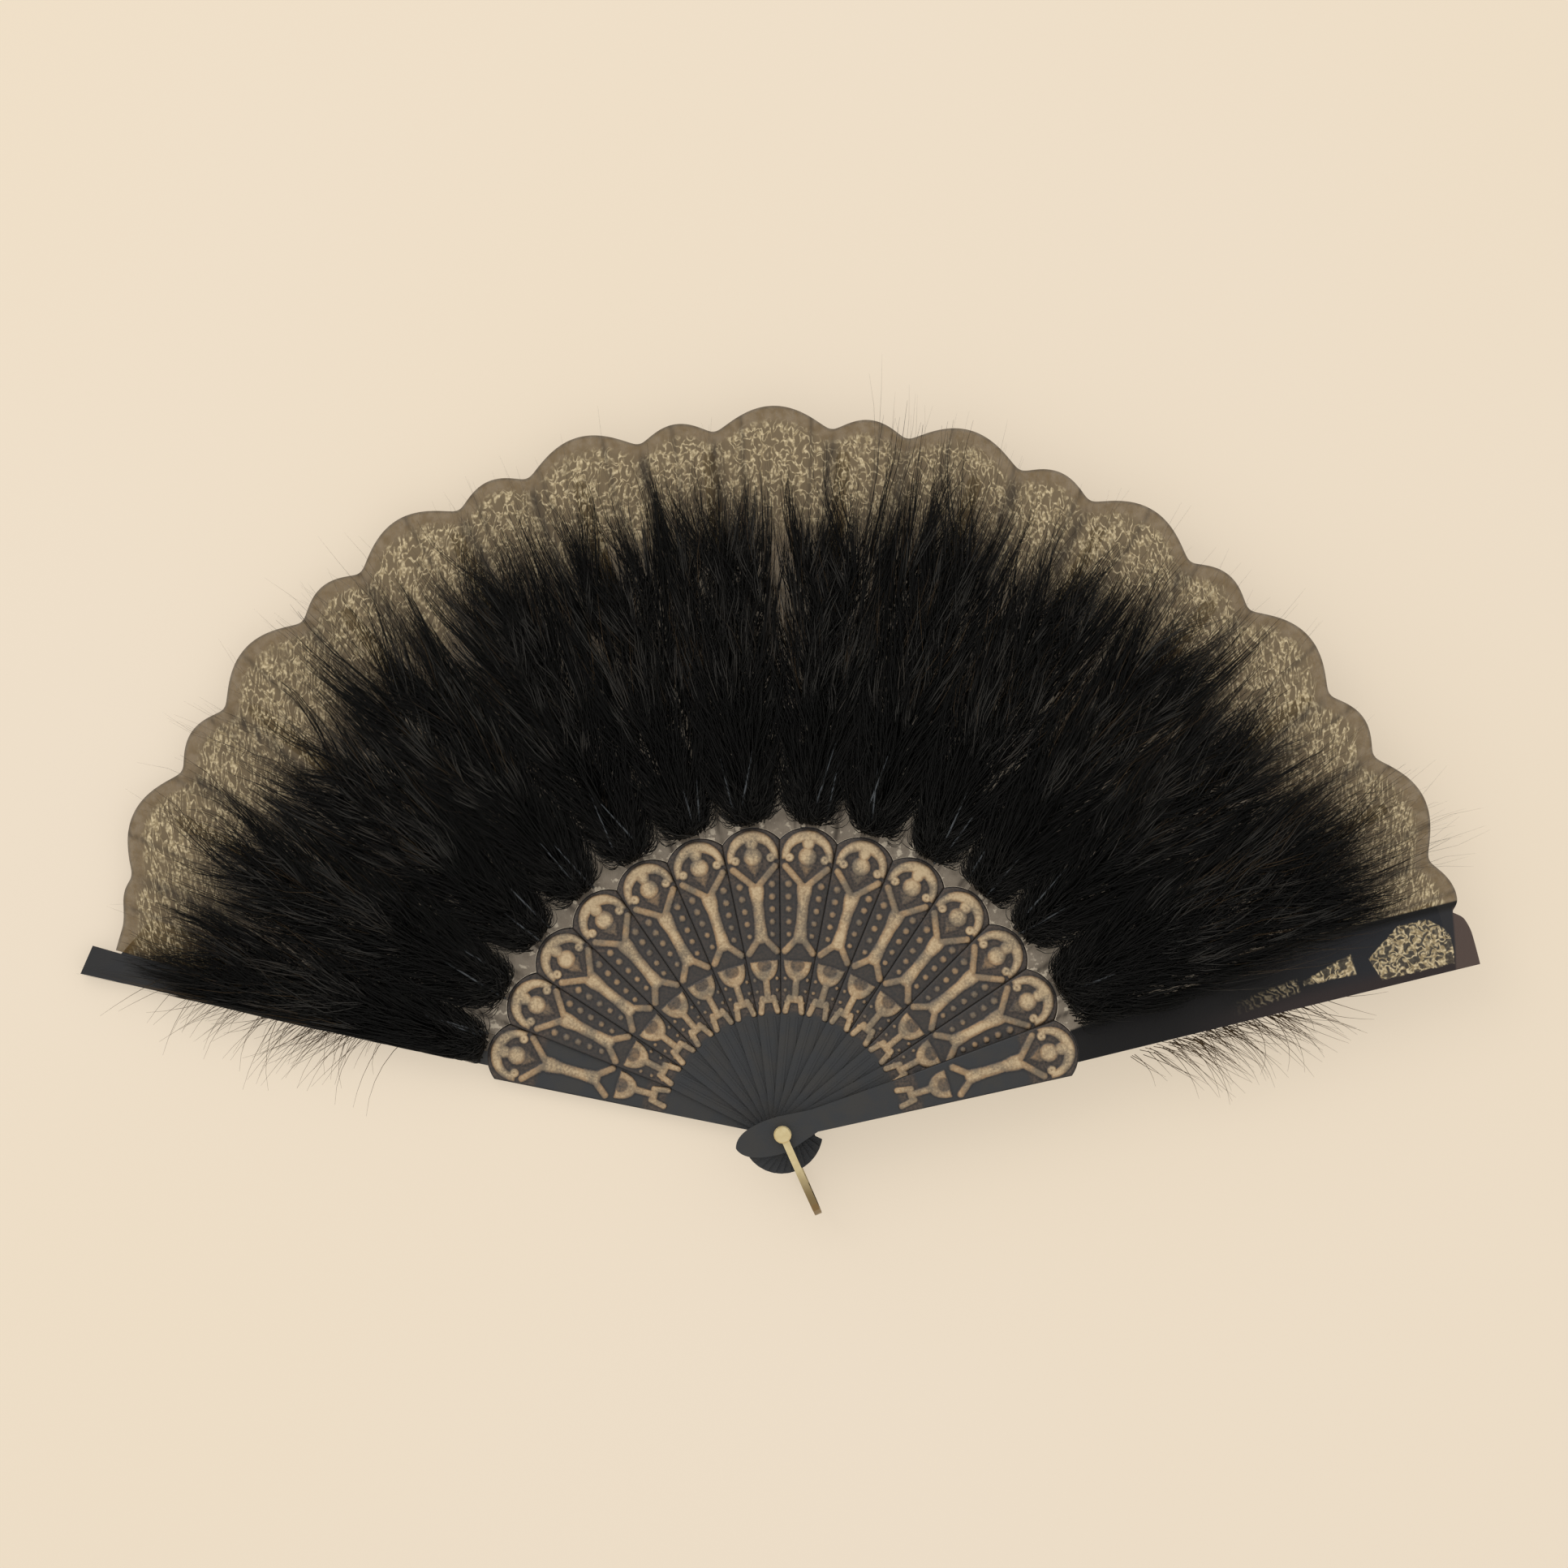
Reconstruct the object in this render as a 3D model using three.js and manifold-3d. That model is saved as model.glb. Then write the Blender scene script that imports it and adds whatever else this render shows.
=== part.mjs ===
// A folding feather fan, lying open and face up. Millimetres, +Z up.
// The fold axis is the Z axis, the fan's centre line is +Y, and z = 0 is the flat face of the
// rear rivet head. Each stick lies on a level of its own, so the fan folds without a clash.
import * as THREE from "three";
import { mergeVertices } from "three/addons/utils/BufferGeometryUtils.js";
import Module from "manifold-3d";

// Fan
const ribCount = 12;
const openAngle = THREE.MathUtils.degToRad(146.9);
const reach = 219.6;
const clearance = 0.3;

// Rivet and bail
const pinRadius = 1.5;
const pivotClearance = 0.15;
const headRadius = 2.7;
const headThickness = 1.2;
const headBevel = 0.4;
const wireThickness = 1.2;
const wireWidth = 2.2;
const eyeRadius = 2.6;
const bailStraight = 14.6;
const bailAngle = THREE.MathUtils.degToRad(-66.5);

// Sticks
const ribThickness = 1.1;
const guardThickness = 2.4;
const reliefHeight = 0.4;
const ribTail = 12.3;
const ribTailHalf = 3.6;
const shankHalf = 3.2;
const gorgeStart = 36;
const tierRadius = 53.6;
const gorgeCorner = 88.8;
const gorgeTop = 93.3;
const gorgeLap = 0.15;
const ribBladeEnd = 208;
const ribBladeRootHalf = 3;
const ribBladeTipHalf = 2.2;
const ridgeWidth = 0.6;
const ridgeHeight = 0.25;
const ridgeStart = 9;
const ridgeOffset = 1.3;

// Guards
const frontGuardTail = 14.8;
const rearGuardTail = 11.4;
const guardTailHalf = 5.6;
const guardNeck = 10.5;
const guardNeckOuter = 2.4;
const guardNeckInner = 4.6;
const guardShankInner = 5.7;
const guardBladeOuterAngle = THREE.MathUtils.degToRad(3.35);
const guardBladeInnerShare = 0.92;
const frontBladeEnd = 210;
const rearBladeShoulder = 203;
const rearTongueStart = 209;
const rearTongueInner = 3.6;
const rearTongueSlant = 1.6;

// Ornament in relief
const ballPlaceShare = 0.776;
const ballRadius = 2.9;
const strapWidth = 1.7;
const archHalfShare = 0.91;
const archRise = 8.1;
const archCrown = 3.4;
const archArm = 2;
const voluteRadius = 1.25;
const beadCount = 5;
const beadRadius = 1.15;
const beadEndRadius = 0.75;
const beadInset = 2.5;
const pedestalStrap = 1.3;

// Leaf
const leafThickness = 0.3;
const scallopPair = THREE.MathUtils.degToRad(15.75);
const scallopShift = THREE.MathUtils.degToRad(0.45);
const bigScallopHalf = THREE.MathUtils.degToRad(4.8);
const bigScallopRise = 6.4;
const smallScallopRise = 4;
const rimNotch = 213.8;
const leftRimEnd = 211.4;
const rightRimEnd = 217.4;
const rightRimAngle = THREE.MathUtils.degToRad(-72.2);
const rearPanelOuterAngle = THREE.MathUtils.degToRad(0.8);
const scallopPower = 1.2;

// Plumes
const plumeStart = 97;
const plumeEnd = 188;
const plumeHeight = 7;
const plumeSpreadShare = 0.92;

// Counts of facets
const arcFacets = 4;
const holeFacets = 8;
const sheetFacets = 6;
const beadFacets = 5;
const ballFacets = 10;
const ballRings = 2;
const rivetFacets = 16;
const bailFacets = 6;

// How far a piece that is joined to another reaches into it
const weld = 0.1;

// Worked out from the values above
const stickCount = ribCount + 2;
const frontIndex = stickCount - 1;
const pitch = openAngle / frontIndex;
const panelHalfAngle = pitch / 4;
const guardBladeInnerAngle = guardBladeInnerShare * panelHalfAngle;
const plumeHalfAngle = (plumeSpreadShare * pitch) / 2;
const seamAngle = clearance / gorgeTop;
const holeRadius = pinRadius + pivotClearance;
const guardRear = headThickness + clearance + wireThickness + clearance;
const firstRibRear = guardRear + guardThickness + clearance;
const levelPitch = ribThickness + clearance;
const frontGuardTop = stickRear(frontIndex) + guardThickness;
const scallopSpan = scallopPair / 2;
const smallScallopHalf = scallopSpan - bigScallopHalf;
const ballPlace = onTier(tierRadius, gorgeTop, ballPlaceShare);
const archHalf = archHalfShare * sectorHalf(ballPlace);

const wasm = await Module();
wasm.setup();

const plastic = { color: 0x1f2224, roughness: 0.42, metalness: 0 };
const leafCloth = { color: 0x4a4238, roughness: 0.8, metalness: 0 };
const feather = { color: 0x0f0d0c, roughness: 0.9, metalness: 0 };
const brass = { color: 0xc8b070, roughness: 0.3, metalness: 1 };

// The rear face of a stick, counted from the rear guard, 0, to the front guard.
function stickRear(index) {
  return index === 0 ? guardRear : firstRibRear + (index - 1) * levelPitch;
}

function stickThickness(index) {
  return index === 0 || index === frontIndex ? guardThickness : ribThickness;
}

// The front face of the leaf on a stick, which is as high as the stick's relief.
function leafTop(index) {
  return stickRear(index) + stickThickness(index);
}

// A stick's angle from the fan's centre line, positive to the left.
function stickAngle(index) {
  return openAngle / 2 - index * pitch;
}

// A point at a distance from the fold axis and an angle to the left of +Y.
function polar(radius, angle) {
  return [-radius * Math.sin(angle), radius * Math.cos(angle)];
}

// Half the width of a stick's share of the fan, and a place on it by a share of that width.
function sectorHalf(radius) {
  return radius * Math.tan(pitch / 2);
}

function placed(acrossShare, radius) {
  return [acrossShare * sectorHalf(radius), radius];
}

function onTier(from, to, share) {
  return from + (to - from) * share;
}

function outline(points) {
  return new THREE.Shape(points.map(([x, y]) => new THREE.Vector2(x, y)));
}

// A flat piece of the given outline between two heights.
function slab(shape, bottom, top, facets = arcFacets) {
  const geometry = new THREE.ExtrudeGeometry(shape, {
    depth: top - bottom,
    bevelEnabled: false,
    curveSegments: facets,
  });
  return geometry.translate(0, 0, bottom);
}

function solidOf(geometry) {
  const bare = geometry.index ? geometry.toNonIndexed() : geometry.clone();
  bare.deleteAttribute("normal");
  bare.deleteAttribute("uv");
  const merged = mergeVertices(bare);
  return new wasm.Manifold(
    new wasm.Mesh({
      numProp: 3,
      vertProperties: merged.attributes.position.array,
      triVerts: merged.index.array,
    }),
  );
}

function geometryOf(solid) {
  const { numProp, vertProperties, triVerts } = solid.getMesh();
  const geometry = new THREE.BufferGeometry();
  geometry.setAttribute("position", new THREE.BufferAttribute(vertProperties, numProp));
  geometry.setIndex(new THREE.BufferAttribute(triVerts, 1));
  return geometry.toNonIndexed();
}

function joined(geometries) {
  const solids = geometries.map(solidOf);
  return geometryOf(solids.reduce((whole, solid) => whole.add(solid)));
}

function mesh(name, geometry, finish) {
  geometry.computeVertexNormals();
  const made = new THREE.Mesh(geometry, new THREE.MeshStandardMaterial(finish));
  made.name = name;
  return made;
}

function numbered(name, index) {
  return `${name}_${String(index).padStart(2, "0")}`;
}

// A straight strap between two points.
function strap([fromX, fromY], [toX, toY], width) {
  const length = Math.hypot(toX - fromX, toY - fromY);
  const sideX = ((toY - fromY) / length) * (width / 2);
  const sideY = ((fromX - toX) / length) * (width / 2);
  return outline([
    [fromX - sideX, fromY - sideY],
    [fromX + sideX, fromY + sideY],
    [toX + sideX, toY + sideY],
    [toX - sideX, toY - sideY],
  ]);
}

function mirrored(points) {
  const left = points.map(([x, y]) => [-x, y]).reverse();
  return [...points, ...left];
}

// The low dome of a ball, set into the stick.
function ball(bottom) {
  const profile = [new THREE.Vector2(0, -weld), new THREE.Vector2(ballRadius, -weld)];
  for (let ring = 0; ring <= ballRings; ring += 1) {
    const slope = (ring / ballRings) * (Math.PI / 2);
    profile.push(new THREE.Vector2(ballRadius * Math.cos(slope), reliefHeight * Math.sin(slope)));
  }
  profile[profile.length - 1].x = 0;
  const dome = new THREE.LatheGeometry(profile, ballFacets).rotateX(Math.PI / 2);
  return dome.translate(0, ballPlace, bottom);
}

// The arch over the ball: a thick crown whose two arms end in curls.
function arch() {
  const shape = new THREE.Shape();
  const [from, to] = [0, Math.PI];
  shape.absellipse(0, ballPlace, archHalf, archRise, from, to, false);
  shape.absellipse(0, ballPlace, archHalf - archArm, archRise - archCrown, to, from, true);
  return shape;
}

function volute(side) {
  const shape = new THREE.Shape();
  const x = side * (archHalf - archArm - voluteRadius / 2);
  shape.absarc(x, ballPlace, voluteRadius, 0, 2 * Math.PI, false);
  return shape;
}

// Half outlines as shares: across the stick's width, and along the tier from its inner end.
const vTopShares = [0.8, 0.69];
const vFootShares = [0.12, 0.554];
const stalkShares = [
  [0.39, 0.14],
  [0.284, 0.262],
  [0.26, 0.413],
  [0.34, 0.504],
  [0.32, 0.565],
];
const stalkFootShares = [0.27, 0.16];
const footEndShares = [0.76, 0.035];
const crescentPlaceShare = 0.943;
const crescentHalfShare = 0.79;
const crescentDepthShare = 0.335;
const crescentHollowShares = [0.35, 0.18];
const stemShares = [
  [0.8, 0.2],
  [0.36, 0.34],
  [0.32, 0.66],
];
const pedestalTopShares = [0.55, 0.24];
const pedestalFootShares = [0.7, 0.04];
const beadStartShare = 0.18;
const beadEndShare = 0.56;

function onUpperTier([across, along]) {
  return placed(across, onTier(tierRadius, gorgeTop, along));
}

function onLowerTier([across, along]) {
  return placed(across, onTier(gorgeStart, tierRadius, along));
}

function opposite([x, y]) {
  return [-x, y];
}

// Both straps of a pair that mirror each other, such as the arms of the V.
function strapPair(from, to, width) {
  return [strap(from, to, width), strap(opposite(to), opposite(from), width)];
}

function crescent() {
  const radius = onTier(gorgeStart, tierRadius, crescentPlaceShare);
  const half = crescentHalfShare * sectorHalf(radius);
  const depth = crescentDepthShare * (tierRadius - gorgeStart);
  const hollowHalf = crescentHollowShares[0] * sectorHalf(radius);
  const hollowDepth = crescentHollowShares[1] * (tierRadius - gorgeStart);
  const shape = new THREE.Shape();
  shape.absellipse(0, radius, half, depth, Math.PI, 2 * Math.PI, false);
  shape.absellipse(0, radius, hollowHalf, hollowDepth, 2 * Math.PI, Math.PI, true);
  return shape;
}

// The moulded ornament that a rib and a guard share, raised from the given height.
function ornament(bottom) {
  const shapes = [
    arch(),
    volute(-1),
    volute(1),
    ...strapPair(onUpperTier(vFootShares), onUpperTier(vTopShares), strapWidth),
    outline(mirrored(stalkShares.map(onUpperTier))),
    ...strapPair(onUpperTier(stalkFootShares), onUpperTier(footEndShares), strapWidth),
    crescent(),
    outline(mirrored(stemShares.map(onLowerTier))),
    ...strapPair(onLowerTier(pedestalTopShares), onLowerTier(pedestalFootShares), pedestalStrap),
  ];
  const raised = shapes.map((shape) => slab(shape, bottom - weld, bottom + reliefHeight));
  return [...raised, ball(bottom)];
}

// A row of beads down each side of a rib, smaller towards the pivot.
function beads(bottom) {
  const made = [];
  for (let index = 0; index < beadCount; index += 1) {
    const share = index / (beadCount - 1);
    const radius = onTier(tierRadius, gorgeTop, onTier(beadStartShare, beadEndShare, share));
    const size = onTier(beadEndRadius, beadRadius, share);
    for (const side of [-1, 1]) {
      const bead = new THREE.ConeGeometry(size, reliefHeight + weld, beadFacets);
      bead.rotateX(Math.PI / 2);
      const height = bottom + (reliefHeight - weld) / 2;
      made.push(bead.translate(side * (sectorHalf(radius) - beadInset), radius, height));
    }
  }
  return made;
}

// The arc over a stick's head, from one corner to the other.
function headArc([half, height]) {
  const rise = gorgeTop - height;
  const radius = (half * half + rise * rise) / (2 * rise);
  return { radius, centre: gorgeTop - radius };
}

function roundHead(shape, corner) {
  const { radius, centre } = headArc(corner);
  const start = Math.atan2(corner[1] - centre, corner[0]);
  shape.absarc(0, centre, radius, start, Math.PI - start, false);
}

function pivotHole() {
  const hole = new THREE.Path();
  hole.absarc(0, 0, holeRadius, 0, 2 * Math.PI, true);
  return hole;
}

// A rib's tail, shank and ornamented gorge in one outline.
function ribOutline() {
  const shape = new THREE.Shape();
  const tailAngle = Math.asin(ribTailHalf / ribTail);
  const gorgeFoot = [sectorHalf(gorgeStart) + gorgeLap, gorgeStart];
  const corner = [sectorHalf(gorgeCorner) + gorgeLap, gorgeCorner];
  shape.absarc(0, 0, ribTail, -Math.PI / 2 - tailAngle, -Math.PI / 2 + tailAngle, false);
  shape.lineTo(shankHalf, 0);
  shape.lineTo(...gorgeFoot);
  shape.lineTo(...corner);
  roundHead(shape, corner);
  shape.lineTo(...opposite(gorgeFoot));
  shape.lineTo(-shankHalf, 0);
  shape.holes.push(pivotHole());
  return shape;
}

// The slender part of a rib that the leaf is glued to.
function ribBlade() {
  return outline(
    mirrored([
      [ribBladeRootHalf, gorgeCorner - ribBladeRootHalf],
      [ribBladeTipHalf, ribBladeEnd - ribBladeTipHalf],
      [ribBladeTipHalf / 2, ribBladeEnd],
    ]),
  );
}

function bladeThickness(thickness) {
  return thickness - leafThickness - clearance;
}

function rib() {
  const plateTop = ribThickness - reliefHeight;
  const ridges = [-1, 1].map((side) => {
    const x = side * ridgeOffset;
    return slab(
      strap([x, ridgeStart], [x, gorgeStart - ridgeWidth], ridgeWidth),
      plateTop - weld,
      plateTop + ridgeHeight,
    );
  });
  return joined([
    slab(ribOutline(), 0, plateTop, holeFacets),
    slab(ribBlade(), 0, bladeThickness(ribThickness)),
    ...ridges,
    ...ornament(plateTop),
    ...beads(plateTop),
  ]);
}

// A guard's tail, shank and gorge. Its outer side is at +x where side is 1.
function guardOutline(tail, side) {
  const shape = new THREE.Shape();
  const corner = [sectorHalf(gorgeCorner), gorgeCorner];
  shape.moveTo(0, -tail);
  shape.quadraticCurveTo(guardTailHalf, -tail / 2, guardTailHalf, 0);
  shape.lineTo(side > 0 ? guardNeckOuter : guardNeckInner, guardNeck);
  shape.lineTo(...(side > 0 ? corner : [guardShankInner, gorgeStart]));
  if (side < 0) {
    shape.lineTo(...corner);
  }
  roundHead(shape, corner);
  if (side > 0) {
    shape.lineTo(-guardShankInner, gorgeStart);
  }
  shape.lineTo(side > 0 ? -guardNeckInner : -guardNeckOuter, guardNeck);
  shape.lineTo(-guardTailHalf, 0);
  shape.quadraticCurveTo(-guardTailHalf, -tail / 2, 0, -tail);
  shape.holes.push(pivotHole());
  return shape;
}

// The front guard's blade ends square under the leaf.
function frontGuardBlade() {
  return outline([
    polar(gorgeCorner - ribBladeRootHalf, -guardBladeOuterAngle),
    polar(frontBladeEnd, -guardBladeOuterAngle),
    polar(frontBladeEnd, guardBladeInnerAngle),
    polar(gorgeCorner - ribBladeRootHalf, guardBladeInnerAngle),
  ]);
}

// The rear guard's blade ends in a narrow tongue that stands out past the leaf.
function rearGuardBlade() {
  return outline([
    polar(gorgeCorner - ribBladeRootHalf, -guardBladeInnerAngle),
    polar(rearBladeShoulder, -guardBladeInnerAngle),
    [-rearTongueInner, rearTongueStart],
    [-rearTongueInner, reach - rearTongueSlant],
    polar(reach, guardBladeOuterAngle),
    polar(gorgeCorner - ribBladeRootHalf, guardBladeOuterAngle),
  ]);
}

function guard(tail, side, blade) {
  const plateTop = guardThickness - reliefHeight;
  return joined([
    slab(guardOutline(tail, side), 0, plateTop, holeFacets),
    slab(blade, 0, bladeThickness(guardThickness)),
    ...ornament(plateTop),
  ]);
}

// The scalloped rim: big and small scallops by turns, with a big one near the centre line, and
// a plain end over each guard.
function rimRadius(angle) {
  if (angle > openAngle / 2 - panelHalfAngle) {
    return leftRimEnd;
  }
  if (angle < rightRimAngle) {
    return rightRimEnd;
  }
  const shifted = angle - scallopShift;
  const fromBig = Math.abs(shifted - scallopPair * Math.round(shifted / scallopPair));
  const isBig = fromBig < bigScallopHalf;
  const along = isBig ? fromBig / bigScallopHalf : (scallopSpan - fromBig) / smallScallopHalf;
  const rise = isBig ? bigScallopRise : smallScallopRise;
  return rimNotch + rise * Math.pow(Math.max(0, 1 - along * along), scallopPower);
}

// The leaf's inner edge, which runs just clear of the stick heads.
function leafInner(angle) {
  const fromStick = angle - pitch * (Math.round(angle / pitch - 0.5) + 0.5);
  const { radius, centre } = headArc([sectorHalf(gorgeCorner) + gorgeLap, gorgeCorner]);
  const across = centre * Math.sin(fromStick);
  const along = centre * Math.cos(fromStick);
  return along + Math.sqrt(radius * radius - across * across) + clearance;
}

// The angles at which a sheet of the leaf has a ring: evenly spaced, and one in each notch of
// the rim.
function sheetAngles(fromAngle, toAngle, axisAngle) {
  const angles = [];
  for (let index = 0; index <= sheetFacets; index += 1) {
    angles.push(onTier(fromAngle, toAngle, index / sheetFacets));
  }
  const lastPair = Math.ceil(openAngle / scallopPair);
  for (let pair = -lastPair; pair <= lastPair; pair += 1) {
    for (const side of [-1, 1]) {
      const notch = pair * scallopPair + scallopShift + side * bigScallopHalf - axisAngle;
      if (notch < fromAngle && notch > toAngle) {
        angles.push(notch);
      }
    }
  }
  return angles.sort((a, b) => b - a);
}

// A sheet of the leaf between two angles, which climbs from one height to another.
function leafSheet(fromAngle, toAngle, fromTop, toTop, axisAngle) {
  const rings = sheetAngles(fromAngle, toAngle, axisAngle).map((angle) => {
    const share = (angle - fromAngle) / (toAngle - fromAngle);
    const top = onTier(fromTop, toTop, share);
    const [innerX, innerY] = polar(leafInner(angle + axisAngle), angle);
    const [outerX, outerY] = polar(rimRadius(angle + axisAngle), angle);
    return [
      [innerX, innerY, top],
      [outerX, outerY, top],
      [outerX, outerY, top - leafThickness],
      [innerX, innerY, top - leafThickness],
    ];
  });
  return loft(rings);
}

// A closed body through rings of equally many points, with flat ends.
function loft(rings) {
  const around = rings[0].length;
  const faces = [];
  for (let ring = 0; ring + 1 < rings.length; ring += 1) {
    for (let point = 0; point < around; point += 1) {
      const next = (point + 1) % around;
      const [a, b] = [ring * around + point, ring * around + next];
      faces.push(a, b + around, b, a, a + around, b + around);
    }
  }
  const last = (rings.length - 1) * around;
  for (let point = 1; point + 1 < around; point += 1) {
    faces.push(0, point, point + 1, last, last + point + 1, last + point);
  }
  const geometry = new THREE.BufferGeometry();
  geometry.setAttribute("position", new THREE.Float32BufferAttribute(rings.flat(2), 3));
  geometry.setIndex(faces);
  return geometry.toNonIndexed();
}

// The stretch of leaf that is glued along a stick, in the stick's own frame.
function leafPanel(index) {
  const left = index === 0 ? rearPanelOuterAngle : panelHalfAngle;
  const right = index === frontIndex ? guardBladeOuterAngle : panelHalfAngle;
  const top = stickThickness(index);
  return leafSheet(left, -right, top, top, stickAngle(index));
}

// The free fold of the leaf between a stick and the next one, in the fan's frame.
function leafFold(index) {
  const left = stickAngle(index - 1) - panelHalfAngle - seamAngle;
  const right = stickAngle(index) + panelHalfAngle + seamAngle;
  return leafSheet(left, right, leafTop(index - 1), leafTop(index), 0);
}

// A plume's places along its length, with its half width and height there.
const plumeShares = [
  [0, 0.13, 0.12],
  [0.1, 0.42, 0.45],
  [0.25, 0.8, 0.85],
  [0.45, 0.98, 1],
  [0.65, 0.97, 0.92],
  [0.82, 0.85, 0.7],
  [0.94, 0.6, 0.4],
  [1, 0.25, 0.1],
];
const plumeSectionShares = [0, 0.2, 0.4, 0.6, 0.8, 1];

// How far the next fold of the leaf climbs under the edge of a plume.
function plumeRise(index) {
  const climb = leafTop(index + 1) - leafTop(index);
  return (climb * (plumeHalfAngle - panelHalfAngle)) / (pitch - 2 * panelHalfAngle);
}

// A soft plume, flat beneath and rounded above, which lies along its stick over the leaf.
function plume(index) {
  const seat = stickThickness(index) + plumeRise(index) + clearance;
  const rings = plumeShares.map(([along, widthShare, heightShare]) => {
    const radius = onTier(plumeStart, plumeEnd, along);
    const half = widthShare * radius * Math.tan(plumeHalfAngle);
    return plumeSectionShares.map((share) => [
      half * Math.cos(share * Math.PI),
      radius,
      seat + plumeHeight * heightShare * Math.sin(share * Math.PI),
    ]);
  });
  return loft(rings);
}

// A stick's frame: on its level and turned to its place in the open fan.
function stickGroup(index, meshes) {
  const group = new THREE.Group();
  group.position.z = stickRear(index);
  group.rotation.z = stickAngle(index);
  group.add(...meshes);
  return group;
}

function rearGuardGroup() {
  return stickGroup(0, [
    mesh("rear_guard", guard(rearGuardTail, -1, rearGuardBlade()), plastic),
    mesh("leaf_panel_rear", leafPanel(0), leafCloth),
    mesh("plume_rear", plume(0), feather),
  ]);
}

function frontGuardGroup() {
  return stickGroup(frontIndex, [
    mesh("front_guard", guard(frontGuardTail, 1, frontGuardBlade()), plastic),
    mesh("leaf_panel_front", leafPanel(frontIndex), leafCloth),
  ]);
}

function ribGroup(index) {
  return stickGroup(index, [
    mesh(numbered("rib", index), rib(), plastic),
    mesh(numbered("leaf_panel", index), leafPanel(index), leafCloth),
    mesh(numbered("plume", index), plume(index), feather),
  ]);
}

// A rivet head with a bevelled rim, flat on both faces.
function rivetHead(bottom, bevelUp) {
  const profile = [
    [0, 0],
    [headRadius, 0],
    [headRadius, headThickness - headBevel],
    [headRadius - headBevel, headThickness],
    [0, headThickness],
  ].map(([x, y]) => new THREE.Vector2(x, bevelUp ? y : headThickness - y));
  const points = bevelUp ? profile : profile.reverse();
  return new THREE.LatheGeometry(points, rivetFacets).rotateX(Math.PI / 2).translate(0, 0, bottom);
}

function rivetMeshes() {
  const frontEyeTop = frontGuardTop + clearance + wireThickness;
  const pinLength = frontEyeTop - headThickness - clearance;
  const pin = new THREE.CylinderGeometry(pinRadius, pinRadius, pinLength, rivetFacets);
  pin.rotateX(Math.PI / 2).translate(0, 0, frontEyeTop - pinLength / 2);
  return [
    mesh("rear_rivet_head", rivetHead(0, false), brass),
    mesh("rivet_pin", pin, brass),
    mesh("front_rivet_head", rivetHead(frontEyeTop + clearance, true), brass),
  ];
}

// A wire bail that straddles all the sticks: an eye on each end of the pin and a round bow.
function bail() {
  const rearOuter = guardRear - clearance - wireThickness;
  const rearInner = guardRear - clearance;
  const frontInner = frontGuardTop + clearance;
  const frontOuter = frontInner + wireThickness;
  const middle = (rearInner + frontInner) / 2;
  const legStart = (holeRadius + eyeRadius) / 2;
  const bow = new THREE.Shape();
  bow.moveTo(legStart, rearOuter);
  bow.absarc(bailStraight, middle, frontOuter - middle, -Math.PI / 2, Math.PI / 2, false);
  bow.lineTo(legStart, frontOuter);
  bow.lineTo(legStart, frontInner);
  bow.absarc(bailStraight, middle, frontInner - middle, Math.PI / 2, -Math.PI / 2, true);
  bow.lineTo(legStart, rearInner);
  const eye = new THREE.Shape();
  eye.absarc(0, 0, eyeRadius, 0, 2 * Math.PI, false);
  eye.holes.push(pivotHole());
  const made = joined([
    slab(bow, -wireWidth / 2, wireWidth / 2, bailFacets).rotateX(Math.PI / 2),
    slab(eye, rearOuter, rearInner, holeFacets),
    slab(eye, frontInner, frontOuter, holeFacets),
  ]);
  const piece = mesh("bail", made, brass);
  piece.rotation.z = bailAngle;
  return piece;
}

const fan = new THREE.Group();
fan.add(rearGuardGroup(), frontGuardGroup(), ...rivetMeshes(), bail());
for (let index = 1; index <= ribCount; index += 1) {
  fan.add(ribGroup(index));
}
for (let index = 1; index <= frontIndex; index += 1) {
  fan.add(mesh(numbered("leaf_fold", index), leafFold(index), leafCloth));
}

export default fan;
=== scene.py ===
"""The looks of a folding feather fan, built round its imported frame. Lengths are in millimetres
until a mesh is made, and each stick's own frame has x across it and y away from the fold axis.
A noise is given by its lumps per millimetre, its detail and its roughness, a step by the values
where it starts and ends, and a bump by its strength and its height."""

import math

import bpy
import numpy as np
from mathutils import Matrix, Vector
from mathutils.geometry import tessellate_polygon


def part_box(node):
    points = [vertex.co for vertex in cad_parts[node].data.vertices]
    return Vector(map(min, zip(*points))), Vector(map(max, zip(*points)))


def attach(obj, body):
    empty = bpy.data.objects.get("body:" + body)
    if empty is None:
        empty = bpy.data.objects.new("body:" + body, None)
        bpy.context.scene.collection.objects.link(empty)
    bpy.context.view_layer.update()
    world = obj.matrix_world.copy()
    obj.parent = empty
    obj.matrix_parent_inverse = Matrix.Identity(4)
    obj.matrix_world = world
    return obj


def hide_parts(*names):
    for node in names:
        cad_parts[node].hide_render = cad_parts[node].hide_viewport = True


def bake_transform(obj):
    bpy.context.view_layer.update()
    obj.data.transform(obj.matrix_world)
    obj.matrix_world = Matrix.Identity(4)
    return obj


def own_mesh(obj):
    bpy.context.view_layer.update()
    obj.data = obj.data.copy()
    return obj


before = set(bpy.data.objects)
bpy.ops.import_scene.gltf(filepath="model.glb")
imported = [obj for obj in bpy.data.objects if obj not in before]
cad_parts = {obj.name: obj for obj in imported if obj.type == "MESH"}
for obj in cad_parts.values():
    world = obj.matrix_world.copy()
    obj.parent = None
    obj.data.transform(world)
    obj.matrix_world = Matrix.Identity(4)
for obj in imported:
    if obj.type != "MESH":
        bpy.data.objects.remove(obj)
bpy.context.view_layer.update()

# Fan, as in the part's source
MM = 0.001
RIBS = 12
OPEN_ANGLE = math.radians(146.9)
FRONT = RIBS + 1
PITCH = OPEN_ANGLE / FRONT
CLEARANCE = 0.3
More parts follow.
